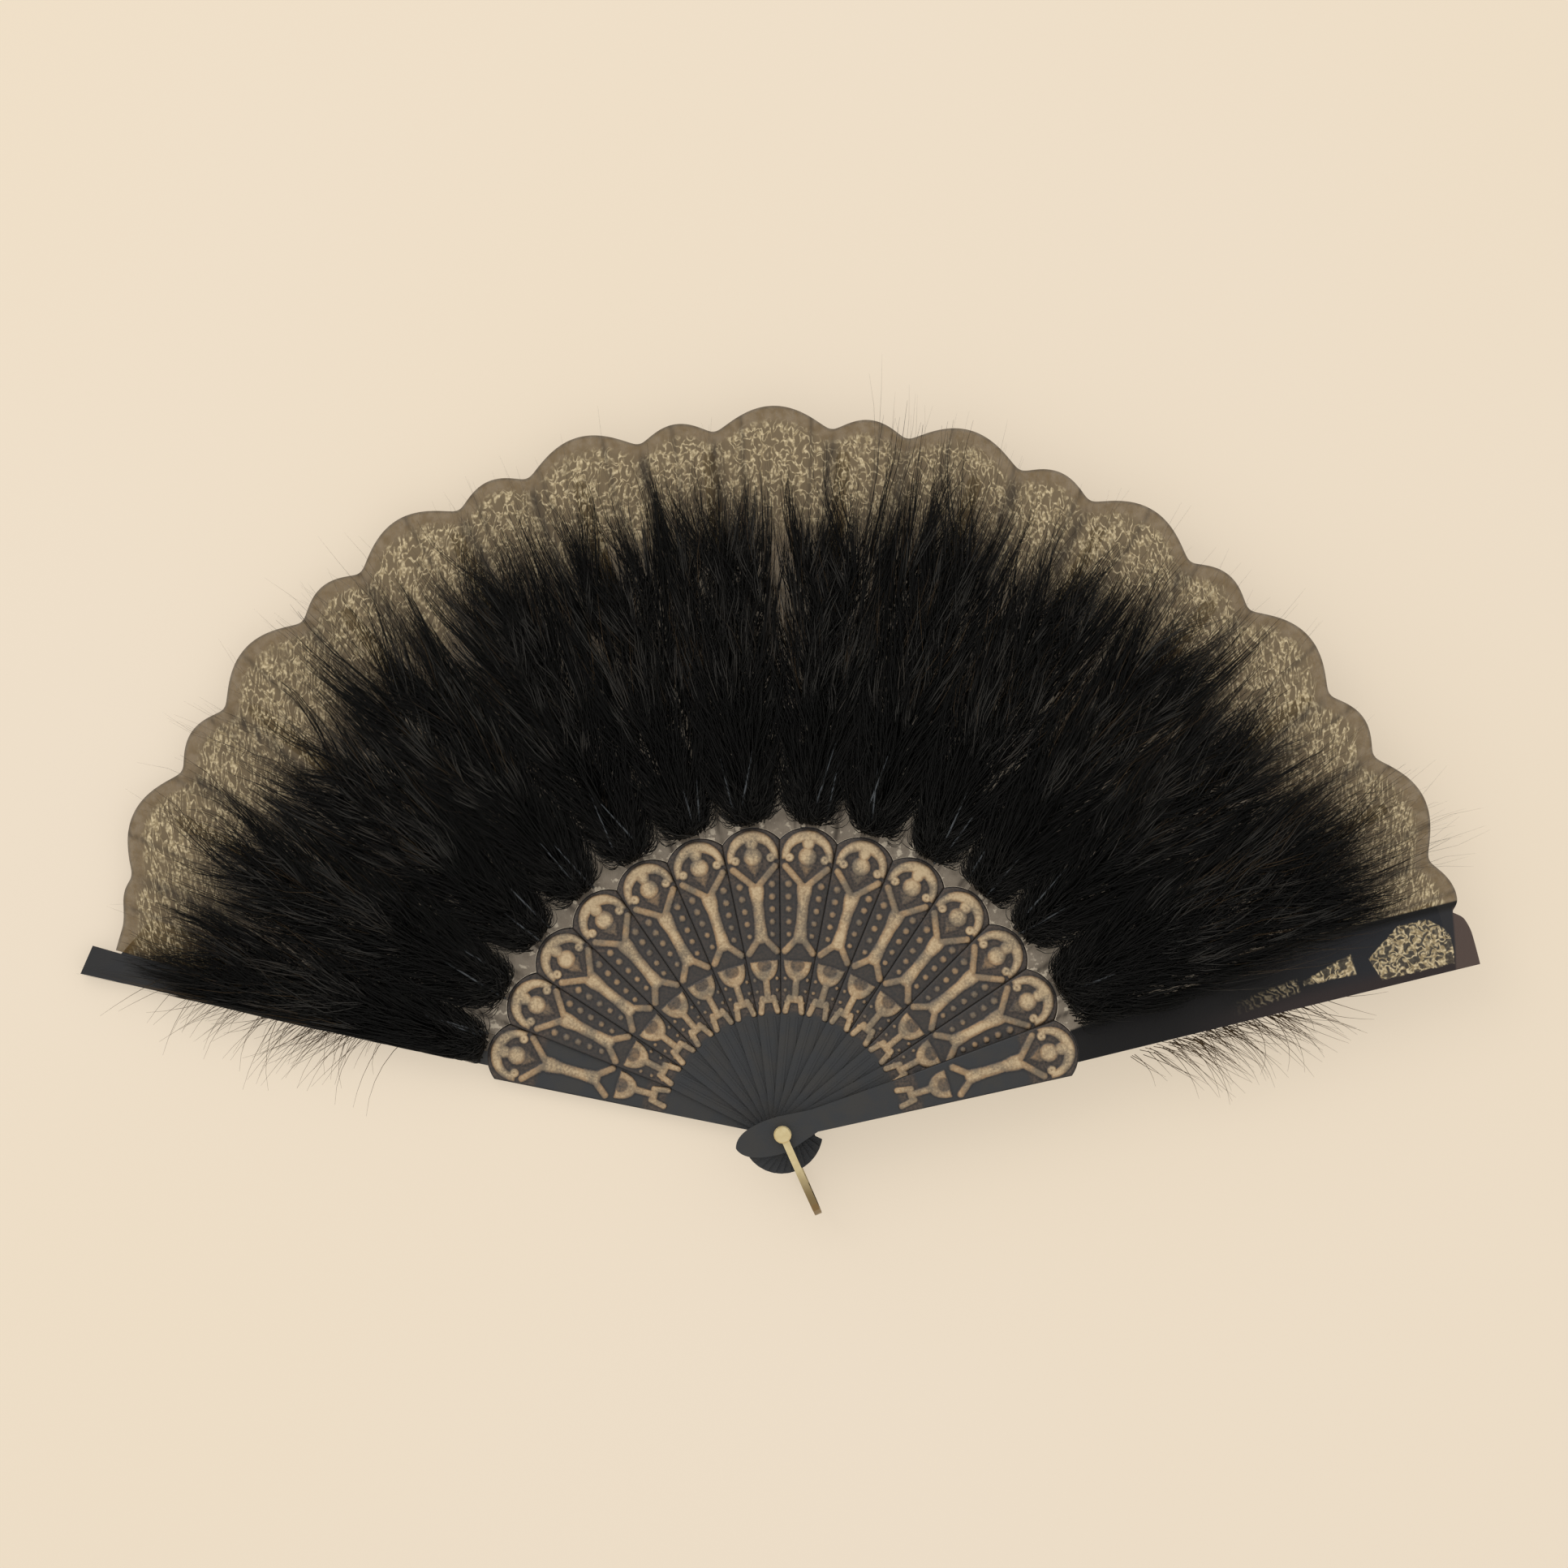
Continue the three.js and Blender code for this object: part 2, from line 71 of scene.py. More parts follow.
RIB_THICKNESS = 1.1
LEVEL_PITCH = RIB_THICKNESS + CLEARANCE
PANEL_HALF = PITCH / 4
NUMBERS = [f"{number:02d}" for number in range(1, FRONT)]
BODIES = ["rear_guard", *(f"rib_{number}" for number in NUMBERS), "front_guard"]
ENDINGS = ["rear", *NUMBERS, "front"]
SEED = 20
TINY = 1e-6

# Camera, from the photograph
FRAME_WIDTH = 476.8
FRAME_CENTRE = (1.4, 106.1, 14.0)
FRAME_ROLL = math.radians(-0.52)
LENS = 200.0
SENSOR = 36.0
VIEW_END = 20000.0

# Floor and light
FLOOR_HALF = 1600.0
FLOOR_DROP = 0.2
PAPER = (0.855, 0.725, 0.55, 1)
PAPER_PALE = (0.855, 0.74, 0.60, 1)
PAPER_NOISE = (0.004, 1.0)
PAPER_ROUGHNESS = 0.9
PAPER_GLOW_SHARE = 0.6
SKY_STRENGTH = 0.86
KEY_POWER = 5.0
KEY_SIZE = 1000.0
KEY_PLACE = (-600.0, 900.0, 1300.0)
KEY_AIM = (0, 100.0, 0)

# Leaf
HEAD_CORNER = 88.8
HEAD_TOP = 93.3
HEAD_LAP = 0.15
HEAD_GAP = 0.08
SCALLOP_PAIR = math.radians(15.75)
SCALLOP_SHIFT = math.radians(0.27)
BIG_SCALLOP_HALF = math.radians(4.8)
BIG_SCALLOP_RISE = 7.5
SMALL_SCALLOP_RISE = 4.6
SCALLOP_POWER = 1.2
RIM_NOTCH = 212.9
RIM_ROUND = 0.9
RIM_LEAN = 0.5
RIM_SWELL = 1.3
RIM_SWELL_AT = math.radians(-8)
RIM_SWELL_HALF = math.radians(22)
LEFT_SLOPE = (math.radians(66.8), math.radians(72.5))
LEFT_RIM_END = 210.8
RIGHT_RIM_END = 217.5
RIGHT_RIM_ANGLE = math.radians(-72.2)
RIGHT_RIM_TURN = math.radians(2.2)
RIGHT_NOTCH_DEPTH = 1.6
RIGHT_NOTCH_HALF = math.radians(0.45)
REAR_PANEL_OUTER = math.radians(0.8)
GUARD_OUTER = math.radians(3.35)
SHEET_SINK = 0.15
CREASE = 0.3
CREASE_HALF = math.radians(0.35)
# How dark the creases and notch folds are drawn: partly the double cloth, partly painted shade.
CREASE_SHADE_SHARE = 0.6
NOTCH_FOLD_HALF = math.radians(0.55)
NOTCH_FOLD_START = 7.0
NOTCH_SHADE_SHARE = 0.8
ANGLE_STEP = math.radians(0.16)
RADIUS_STEP = 2.0
WRINKLE = 0.03
WRINKLES_PER_RADIAN = 260
WRINKLES_PER_MM = 0.11
WRINKLE_DRIFT = 40

# Cloth of the leaf
LEAF_BLACK = ((0.085, 0.050, 0.014, 1), (0.160, 0.095, 0.028, 1))
# Cloth lightened near the heads: painted light.
LEAF_LIGHTENED = ((0.100, 0.078, 0.054, 1), (0.180, 0.142, 0.104, 1))
LEAF_HEM = (0.045, 0.029, 0.015, 1)
LEAF_INK = (0.140, 0.096, 0.045, 1)
# Dark of the creases and notch folds: partly the cloth lying double, partly painted shade.
LEAF_FOLD_SHADE = (0.016, 0.010, 0.006, 1)
LEAF_GLINT = (0.46, 0.39, 0.29, 1)
FOIL = ((0.29, 0.215, 0.11, 1), (0.64, 0.515, 0.31, 1))
LIGHTENED_REACH = (150.0, 120.0)
HEM = (1.1, 0.3)
HEM_DARK_SHARE = 0.6
HEAD_GLINTS = (99.0, 93.0)
GLINT_NOISE = (0.42, 2.0)
GLINT_STEP = (0.56, 0.66)
THREAD_SCALES = (3.2, 0.30, 0)
STREAK_SCALES = (0.5, 0.07, 0)
WEAVE_NOISE = (1.0, 2.0)
STREAK_STEP = (0.38, 0.62)
STREAK_SHARES = (0.45, 1.0)
FLAKE_NOISE = (1.1, 2.0)
FLAKE_STEP = (0.38, 0.66)
MOTTLE_NOISE = (0.33, 4.0, 0.6)
MOTTLE_STEP = (0.3, 0.7)
MOTTLE_COVER = 0.10
THREAD_COVERS = (0.74, 0.86)
INK_COVER = 0.93
GOLD_COVER = 0.97
BACKING_COVER = 0.99
CLOTH_METAL = 0.3
CLOTH_ROUGHNESSES = (0.8, 0.42)
CLOTH_GLOSS = 0.3
CLOTH_BUMP = (0.5, 0.25)

# Print on the leaf, in from the rim
PRINT_EDGE = (5.6, 8.6)
PRINT_FADE = (46.0, 28.0)
EDGE_WAVE = 3.0
EDGE_WAVE_NOISE = (0.06, 2.0)
EDGE_RAG = 2.0
EDGE_RAG_NOISE = (0.5, 2.0)
PRINT_WEAR_NOISE = (0.28, 3.0)
PRINT_WEAR_STEP = (0.22, 0.5)
PRINT_SCALES = (1.0, 0.7, 0)
PRINT_STROKE = 0.10
SCROLL_NOISE = (0.46, 0.8)
SCROLL_TWIST = 0.9
SCROLL_EDGE_SHARE = 0.2

# Dark cloth on the front guard, out from its edge, with its motifs
BACKING_WIDTH = 20.4
BACKING_TURN = 140.0
BACKING_FLARE_SHARE = 0.3
BACKING_END = 209.6
BACKING_END_SOFT = 0.8
BACKING_SLANT_SHARE = 0.22
BACKING_SOFT = 0.3
# The band here and the edge colour below paint a shadow along the dark cloth's inner edge.
BACKING_SHADOW_BAND = (3.4, 1.0)
BACKING_NEAR = (0.0065, 0.0055, 0.005, 1)
BACKING_FAR = (0.0165, 0.0170, 0.0195, 1)
BACKING_BROWN = (0.028, 0.0195, 0.018, 1)
BACKING_PAST = (0.078, 0.052, 0.042, 1)
BACKING_SHADOW = (0.003, 0.0025, 0.002, 1)
NAVY_REACH = (150.0, 185.0)
BROWN_ACROSS = (7.0, 1.0)
BROWN_ALONG = (120.0, 165.0)
MOTIF_LINE = 9.6
MOTIF_BEND = 185.0
MOTIF_BEND_SHARE = 0.125
MOTIF_NOISE = (0.5, 2.0)
MOTIF_STROKE = 0.13
SHELL_GROUND = 0.12
SHELL_START = 186.0
SHELL_END = 211.0
SHELL_HALF = 7.6
SHELL_FOOT_HALF = 1.0
SHELL_FLARE_SHARE = 1.1
SHELL_SLANT_SHARE = 0.6
SHELL_ROUNDS = (3.2, 7.5)
SHELL_LOWER_SIDE = (0, -4.0)
SHELL_CORNER = 2.0
SHELL_RAG = 1.6
SHELL_SOFT = 0.5
CURL_START = 164.0
CURL_END = 180.7
CURL_FOOT_HALF = 0.5
CURL_FLARE_SHARE = 0.16
CURL_RAG = 1.2
CURL_EDGE = (0.3, 0.8)
CURL_SOFT = 0.6
CHAIN_START = 140.0
CHAIN_END = 163.0
CHAIN_END_SOFT = 1.0
CHAIN_PITCH = 1.9
CHAIN_SLANT_SHARE = 0.5
CHAIN_RAG = 5.0
CHAIN_LINK_SHARES = (0.1, 0.9)
CHAIN_SOFT_SHARE = 0.4
CHAIN_EDGE = (2.5, 1.3)
CHAIN_GOLD_SHARE = 0.95

# Plumes
PLUME_START = 96.0
PLUME_ROOTS_END = 168.0
PLUME_TIPS = 195.0
PLUME_HEIGHT = 7.0
PLUME_SEAT = CLEARANCE
FEATHERS = 5
FEATHER_BOW = 11.0
FEATHER_SHIFT_SHARE = 0.16
FEATHER_SIZE_SHARES = (0.8, 1.2)
SHAFT_TURN = 0.62 * math.pi
DOWN = dict(
    count=366, locks=64, lengths=(22.0, 40.0), roots=(PLUME_START, PLUME_ROOTS_END), aside=0.4,
    openings=(10, 66), spreads=(0.85, 1.25), radius=0.17, tones=(0.0, 0.12),
)
SKIRT = dict(
    count=110, locks=24, lengths=(8.0, 20.0), roots=(95.5, 106.0), aside=1.0,
    openings=(34, 86), spreads=(0.8, 1.3), radius=0.13, tones=(0.0, 0.25),
)
FLUFF = dict(
    count=46, locks=20, lengths=(7.0, 15.0), roots=(93.0, 98.0), aside=3.3,
    openings=(0, 34), spreads=(0.9, 1.1), radius=0.18, tones=(0.0, 0.2),
)
CROSSING = dict(
    count=78, locks=22, lengths=(6.0, 13.0), roots=(95.0, 102.5), aside=5.0,
    openings=(48, 108), spreads=(0.9, 1.5), radius=0.13, tones=(0.0, 0.3),
)
# Barbs toned slate here are a painted sheen.
SHEEN = dict(
    count=84, locks=6, lengths=(14.0, 32.0), roots=(122.0, PLUME_ROOTS_END), aside=1.2,
    openings=(6, 44), spreads=(0.8, 1.15), radius=0.18, tones=(0.36, 0.6),
)
WISPS = dict(
    count=64, locks=34, lengths=(22.0, 48.0), roots=(126.0, 172.0), aside=1.5,
    openings=(4, 44), spreads=(1.0, 1.7), radius=0.065, tones=(0.1, 0.9),
)
KINDS = (DOWN, SKIRT, FLUFF, CROSSING, SHEEN, WISPS)
ROOT_POWER = 0.78
LOCK_LOOSE = 1.1
LOCK_SPLAY = 4.5
LOCK_SWAY = 0.16
BARB_SWAY = 0.08
BARB_KINK = 0.09
BARB_POINTS = 6
BARB_SIDES = 3
BARB_SIZE_SHARES = (0.85, 1.1)
ROOT_SIZE_SHARE = 0.8
TIP_OPENING_SHARE = 0.62
BEND_POWERS = (0.8, 0.3)
LIFT_SHARES = (0.04, 1.0)
LIFT_POWER = 0.8
ARCH_START_SHARE = 0.10
ARCH_SHARE = 0.82
ARCH_POWER = 0.8
ROOT_THICK_SHARE = 1.15
THICK_POWER = 1.5
CLIMB_REACH_SHARE = 1.4
CLIMB_DROP_SHARE = 0.6
LAST_FEATHERS = 3
LAST_BOW_SHARE = 1.8
LAST_WIDTH_SHARE = 1.6
GUARD_SPREAD_SHARE = 1.05
WIDTH_PLACES = (PLUME_START, 128.0, 162.0, PLUME_TIPS)
WIDTH_SHARES = (1.34, 1.34, 1.2, 1.16)
DOWN_BLACK = (0.0045, 0.0042, 0.0034, 1)
DOWN_SLATE = (0.039, 0.036, 0.031, 1)
DOWN_BROWN = (0.105, 0.064, 0.029, 1)
SLATE_TONE = 0.5
DOWN_ROUGHNESS = 0.6
DOWN_GLOSS = 0.15

# Stray wisps beside the guards
STRAYS = 170
STRAY_TONES = (0.82, 1.0)
STRAY_RADIUS = 0.105
STRAY_TURN_SHARES = (0.35, 1.0)
STRAY_BEND_SHARES = (0.2, 0.35)
STRAY_ROOT_SHARE = 0.3
STRAY_DROOP_SHARES = (0.3, 1.0)
STRAY_DROOP_POWER = 1.6
STRAY_THICK_SHARE = 1.25
REAR_STRAYS = dict(roots=(112.0, 190.0), lengths=(10.0, 30.0), away=-1.15, drop=4.0)
FRONT_STRAYS = dict(roots=(104.0, 172.0), lengths=(7.0, 24.0), away=1.1, drop=12.0)
FRONT_STRAY_LINE = 110.0

# Quills
QUILLS = 2
QUILL_START = 93.8
QUILL_STAGGER = 2.0
QUILL_LENGTHS = (15.0, 29.0)
QUILL_ASIDE = 5.0
QUILL_LEAN = 0.16
QUILL_RISE = 5.4
QUILL_ARCH_SHARE = 0.8
QUILL_ARCH_POWER = 0.6
QUILL_RADIUS = 0.44
QUILL_TAPER_SHARE = 0.6
QUILL_POINTS = 14
QUILL_SIDES = 8
HORN = ((0.016, 0.018, 0.019, 1), (0.056, 0.062, 0.066, 1))
HORN_NOISE = (0.4, 2.0)
HORN_ROUGHNESS = 0.55

# Sticks
GUARD_THICKNESS = 2.4
RELIEF = 0.4
RIB_TAIL = 12.3
RIB_TAIL_HALF = 3.6
SHANK_HALF = 3.2
GORGE_START = 36.0
TIER = 53.6
BLADE_END = 208.0
BLADE_ROOT_HALF = 3.0
BLADE_TIP_HALF = 2.2
BLADE_DARK_SHARE = 0.75
LEAF_ROOM = 0.6
RIDGE_WIDTH = 0.6
RIDGE_HEIGHT = 0.25
RIDGE_START = 9.0
RIDGE_OFFSET = 1.3
PIVOT_HOLE = 1.65
HOLE_SIDES = 28
GUARD_TAILS = (10.4, 14.8)
TAIL_FULL_SHARE = 0.9
GUARD_TAIL_HALF = 5.6
GUARD_NECK = 10.5
NECK_OUTER = 2.4
NECK_INNER = 4.6
SHANK_INNER = 5.7
GUARD_INNER_SHARE = 0.92
FRONT_BLADE_END = 210.0
REAR_SHOULDER = 203.0
TONGUE_START = 209.0
TONGUE_INNER = 3.6
TONGUE_SLANT = 1.6
REACH = 219.6
GORGE_CELL = 0.25
SINK = 0.02
OVERLAP = 0.3
SHARP_ANGLE = math.radians(60)

# Gilt plastic and brass
GOLD = (0.192, 0.147, 0.096, 1)
GOLD_WARM = (0.312, 0.197, 0.100, 1)
# The pale gold is a painted highlight for the crests of the ornament.
GOLD_HIGHLIGHT = (0.565, 0.425, 0.252, 1)
PLASTIC = (0.021, 0.022, 0.023, 1)
PLASTIC_WARM = (0.027, 0.025, 0.022, 1)
GORGE_PLASTIC = (0.012, 0.010, 0.0075, 1)
DUST = (0.082, 0.056, 0.038, 1)
# The black of the painted shade on the gorge's edges and in its grooves; the blades are darkened
# toward it too.
SHADE_BLACK = (0.005, 0.004, 0.004, 1)
PATCH_NOISE = (0.16, 3.0)
PATCH_STEP = (0.35, 0.65)
RUB_NOISE = (1.3, 4.0, 0.62)
RUB_STEP = (0.25, 0.7)
GRAIN_NOISE = (3.0, 2.0)
RUB_WEAR = 0.9
PATCH_WEAR = 0.7
LEAST_WEAR = 0.22
GOLD_STEP = (0.22, 0.80)
HIGHLIGHT_STEP = (0.72, 1.22)
GOLD_METAL = 0.35
GOLD_ROUGHNESS = 0.42
PLASTIC_ROUGHNESSES = (0.34, 0.5)
PLASTIC_GLOSS = 0.42
PLASTIC_BUMP = (0.35, 0.14)
BRASS = ((0.56, 0.42, 0.20, 1), (0.80, 0.68, 0.40, 1))
# Darker brass for the bail's lower end: painted shade.
BRASS_SHADE = (0.24, 0.17, 0.08, 1)
BAIL_DARK = (-8.0, -20.0)
TARNISH_NOISE = (0.5, 4.0)
SCRATCH_NOISE = (2.0, 3.0)
SCRATCH_SCALES = (4.0, 4.0, 0.6)
BRASS_ROUGHNESSES = (0.22, 0.42)
BRASS_BUMP = (0.2, 0.05)

# Ornament, with places as shares of a stick's half width and of a tier's length
BALL_SHARE = 0.776
BALL_RADIUS = 3.0
BALL_ROUND = 2.0
ARCH_HALF_SHARE = 0.955
ARCH_RISE = 8.1
ARCH_CROWN = 3.8
ARCH_ARM = 2.6
ARCH_ROUND = 1.4
VOLUTE = 1.5
CURL_DIMPLE = 0.2
DIMPLE_SHARE = 0.5
LOBE = (2.1, 2.6)
STRAP = 2.3
STRAP_ROUND = 0.9
V_TOP_SHARES = (0.8, 0.69)
V_FOOT_SHARES = (0.12, 0.554)
STALK_SHARES = ((0.42, 0.105), (0.284, 0.262), (0.26, 0.413), (0.34, 0.504), (0.32, 0.565))
STALK_ROUND = 1.6
STALK_FOOT_SHARES = (0.27, 0.125)
FOOT_END_SHARES = (0.78, 0.04)
DART_RISE = 4.4
DART_ROUND = 1.6
DART_WIDTH_SHARE = 0.7
DART_SHARE = 0.62
BEAD_RISE_SHARE = 0.85
BEADS = dict(count=5, shares=(0.17, 0.555), sizes=(0.9, 1.2), inset=2.5)
LOW_BEADS = dict(count=3, shares=(0.22, 0.62), sizes=(0.62, 0.62), inset=1.25)
CRESCENT_SHARE = 0.943
CRESCENT_HALF_SHARE = 0.84
CRESCENT_DEPTH_SHARE = 0.36
HOLLOW_SHARES = (0.36, 0.1)
HOLLOW_DROP = 1.3
BOWL_FLOOR_SHARE = 0.5
STEM_SHARES = ((0.62, 0.2), (0.27, 0.34), (0.24, 0.66))
PEDESTAL_STRAP = 2.0
PEDESTAL_ROUND = 0.6
PEDESTAL_TOP_SHARES = (0.42, 0.3)
PEDESTAL_FOOT_SHARES = (0.68, 0.06)
EDGE_ROUND = 0.55
EDGE_DROP = 0.28

# How much gold lies on the ornament and between, and how much shade is painted beside it
CROWN_GILT = 1.0
ARM_GILT = 0.78
STALK_GILT = 0.95
PEDESTAL_GILT = 0.85
BEAD_GILT = 0.84
GORGE_DUST = 0.1
# Less dust in the gorge's middle band leaves it dark there, as painted shade.
SHADE_BAND_DUST = 0.045
SHADE_BAND_REACH = (42.0, 78.0)
HOLLOW_SOFT = 2.5
GROOVE_CELLS = 3
GROOVE_SHADE_SHARE = 0.7


def panel_node(index):
    return f"leaf_panel_{ENDINGS[index]}"


def plume_node(index):
    return f"plume_{ENDINGS[index]}"


def stick_angle(index):
    return OPEN_ANGLE / 2 - index * PITCH


def leaf_top(index):
    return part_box(panel_node(index))[1].z / MM


def sector_half(radius):
    return radius * math.tan(PITCH / 2)


def between(low, high, share):
    return low + (high - low) * share


def smooth(share):
    share = np.clip(share, 0, 1)
    return share * share * (3 - 2 * share)


# Meshes

def turned(points, angle):
    """Points of a stick's frame, turned to its place in the open fan."""
    c, s = math.cos(angle), math.sin(angle)
    x, y = points[..., 0], points[..., 1]
    return np.stack([c * x - s * y, s * x + c * y, points[..., 2]], axis=-1)


def linked(name, data):
    thing = bpy.data.objects.new(name, data)
    bpy.context.scene.collection.objects.link(thing)
    return thing


def made(name, points, faces, material, body=None):
    """A piece from points in millimetres, riding on a body where one is named."""
    mesh = bpy.data.meshes.new(name)
    mesh.from_pydata((points.reshape(-1, 3) * MM).tolist(), [], faces)
    mesh.polygons.foreach_set("use_smooth", [True] * len(mesh.polygons))
    mesh.materials.append(material)
    piece = linked(name, mesh)
    if body:
        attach(piece, body)
    return piece


def on_stick(name, index, level, points, faces, material):
    """A piece from points in a stick's own frame, raised to a level."""
    points[:, 2] += level
    return made(name, turned(points, stick_angle(index)), faces, material, BODIES[index])


def store(piece, name, values, kind="FLOAT", key="value"):
    attribute = piece.data.attributes.new(name, kind, "POINT")
    attribute.data.foreach_set(key, np.asarray(values, np.float32).ravel())


def joined(solids):
    """The points and faces of several solids as those of one."""
    points, faces = [], []
    total = 0
    for solid_points, solid_faces in solids:
        points.append(solid_points)
        faces += [[corner + total for corner in face] for face in solid_faces]
        total += len(solid_points)
    return np.concatenate(points), faces


def grid_faces(rows, columns):
    """The quads of a grid of points that is stored row by row."""
    row, column = np.mgrid[0 : rows - 1, 0 : columns - 1]
    corner = (row * columns + column).ravel()
    return np.stack([corner, corner + 1, corner + columns + 1, corner + columns], axis=1)


# Material nodes

class Value:
    """A number, colour or vector that a material's nodes work out."""

    def __init__(self, graph, socket):
        self.graph = graph
        self.socket = socket

    def __add__(self, other):
        return self.graph.maths("ADD", self, other)

    def __sub__(self, other):
        return self.graph.maths("SUBTRACT", self, other)

    def __rsub__(self, other):
        return self.graph.maths("SUBTRACT", other, self)

    def __mul__(self, other):
        return self.graph.maths("MULTIPLY", self, other)


class Graph:
    """A material whose nodes are made by short calls."""

    def __init__(self, name):
        self.material = bpy.data.materials.new(name)
        self.material.use_nodes = True
        self.tree = self.material.node_tree
        self.shader = self.tree.nodes["Principled BSDF"]

    def feed(self, socket, value):
        if isinstance(value, Value):
            self.tree.links.new(value.socket, socket)
        else:
            socket.default_value = value

    def set(self, **values):
        for key, value in values.items():
            self.feed(self.shader.inputs[key.replace("_", " ")], value)

    def output(self, kind, key, inputs=(), **settings):
        """What a new node puts out, with its inputs fed by name or number."""
        node = self.tree.nodes.new(kind)
        for name, value in settings.items():
            setattr(node, name, value)
        for name, value in dict(inputs).items():
            self.feed(node.inputs[name], value)
        return Value(self, node.outputs[key])

    def place(self):
        """Places on the piece at rest, in millimetres."""
        return self.scaled(self.output("ShaderNodeTexCoord", "Object"), (1 / MM, 1 / MM, 1 / MM))

    def scaled(self, vector, factors):
        return self.output("ShaderNodeVectorMath", 0, {0: vector, 1: factors}, operation="MULTIPLY")

    def split(self, vector):
        return [self.output("ShaderNodeSeparateXYZ", axis, {0: vector}) for axis in "XYZ"]

    def attribute(self, name, key="Fac"):
        return self.output("ShaderNodeAttribute", key, attribute_name=name)

    def maths(self, operation, *values):
        return self.output("ShaderNodeMath", 0, enumerate(values), operation=operation)

    def larger(self, first, second):
        return self.maths("MAXIMUM", first, second)

    def smaller(self, first, second):
        return self.maths("MINIMUM", first, second)

    def noise(self, vector, per_mm, detail, roughness=0.5, twist=0.0):
        inputs = {"Vector": vector, "Scale": per_mm, "Detail": detail}
        inputs.update({"Roughness": roughness, "Distortion": twist})
        return self.output("ShaderNodeTexNoise", "Fac", inputs)

    def step(self, value, low, high):
        inputs = {"Value": value, "From Min": low, "From Max": high}
        return self.output("ShaderNodeMapRange", "Result", inputs, interpolation_type="SMOOTHSTEP")

    def mix(self, factor, first, second):
        """A colour between two others."""
        return self.output("ShaderNodeMix", 2, {0: factor, 6: first, 7: second}, data_type="RGBA")

    def blend(self, factor, first, second):
        """A number between two others."""
        return self.output("ShaderNodeMix", 0, {0: factor, 2: first, 3: second}, data_type="FLOAT")

    def bump(self, height, strength, distance):
        inputs = {"Strength": strength, "Distance": distance * MM, "Height": height}
        self.set(Normal=self.output("ShaderNodeBump", "Normal", inputs))


# Materials

def stick_plastic():
    """Dark moulded plastic with gold rubbed on the ornament, worn through in places. The gold is
    paler on the relief's crests as a painted highlight, and painted shade darkens the gorge's
    edges and the plain grooves beside the ornament.
    """
    graph = Graph("gilt_plastic")
    place = graph.place()
    gilt = graph.attribute("gilt")
    patch = graph.noise(place, *PATCH_NOISE)
    rub = graph.noise(place, *RUB_NOISE)
    grain = graph.noise(place, *GRAIN_NOISE)
    ragged = gilt * (rub * RUB_WEAR + patch * PATCH_WEAR + LEAST_WEAR)
    gold = graph.step(ragged, *GOLD_STEP)
    warm = graph.step(patch, *PATCH_STEP)
    aged = graph.mix(warm, GOLD, GOLD_WARM)
    # Paler gold on the relief's crests, where less is worn: a painted highlight, mixed with wear.
    tone = graph.mix(graph.step(ragged, *HIGHLIGHT_STEP), aged, GOLD_HIGHLIGHT)
    shank = graph.mix(warm, PLASTIC, PLASTIC_WARM)
    bare = graph.mix(graph.attribute("gorge"), shank, GORGE_PLASTIC)
    dusty = graph.step(gilt, 0, GORGE_DUST) * graph.step(rub, *RUB_STEP)
    # Painted shade along the gorge's edges and in the grooves beside the ornament, from the rim
    # attribute, which also darkens the blades.
    shaded = graph.mix(graph.attribute("rim"), graph.mix(dusty, bare, DUST), SHADE_BLACK)
    graph.set(
        Base_Color=graph.mix(gold, shaded, tone),
        Metallic=gold * GOLD_METAL,
        Roughness=graph.blend(gold, graph.blend(grain, *PLASTIC_ROUGHNESSES), GOLD_ROUGHNESS),
        Specular_IOR_Level=PLASTIC_GLOSS,
    )
    graph.bump(rub + grain, *PLASTIC_BUMP)
    return graph.material


def brass():
    graph = Graph("gilt_wire")
    place = graph.place()
    tarnished = graph.mix(graph.noise(place, *TARNISH_NOISE), *BRASS)
    scratch = graph.noise(graph.scaled(place, SCRATCH_SCALES), *SCRATCH_NOISE)
    # The bail darkens towards its lower end: painted shade.
    worn = graph.mix(graph.step(graph.split(place)[1], *BAIL_DARK), tarnished, BRASS_SHADE)
    graph.set(Base_Color=worn, Metallic=1.0, Roughness=graph.blend(scratch, *BRASS_ROUGHNESSES))
    graph.bump(scratch, *BRASS_BUMP)
    return graph.material


def scroll_print(graph, place, width):
    """Curly strokes of an even width, where a field of noise passes its middle value."""
    off = graph.maths("ABSOLUTE", graph.noise(place, *SCROLL_NOISE, twist=SCROLL_TWIST) - 0.5)
    return graph.step(off, width, width * SCROLL_EDGE_SHARE)


def leaf_print(graph, place, weave, inset):
    """The gold print of the leaf: where its ground is, and the worn strokes on it."""
    wave = graph.noise(place, *EDGE_WAVE_NOISE) * EDGE_WAVE
    ragged = graph.noise(place, *EDGE_RAG_NOISE) * EDGE_RAG + wave + inset
    ground = graph.step(ragged, *PRINT_EDGE) * graph.step(inset, *PRINT_FADE)
    worn = graph.step(graph.noise(place, *PRINT_WEAR_NOISE), *PRINT_WEAR_STEP)
    scrolls = scroll_print(graph, graph.scaled(weave, PRINT_SCALES), PRINT_STROKE)
    return ground, ground * worn * scrolls


def window(graph, value, low, high, soft):
    """1 between two values and 0 outside them, with soft edges."""
    return graph.step(value, low, low + soft) * graph.step(value, high, high - soft)


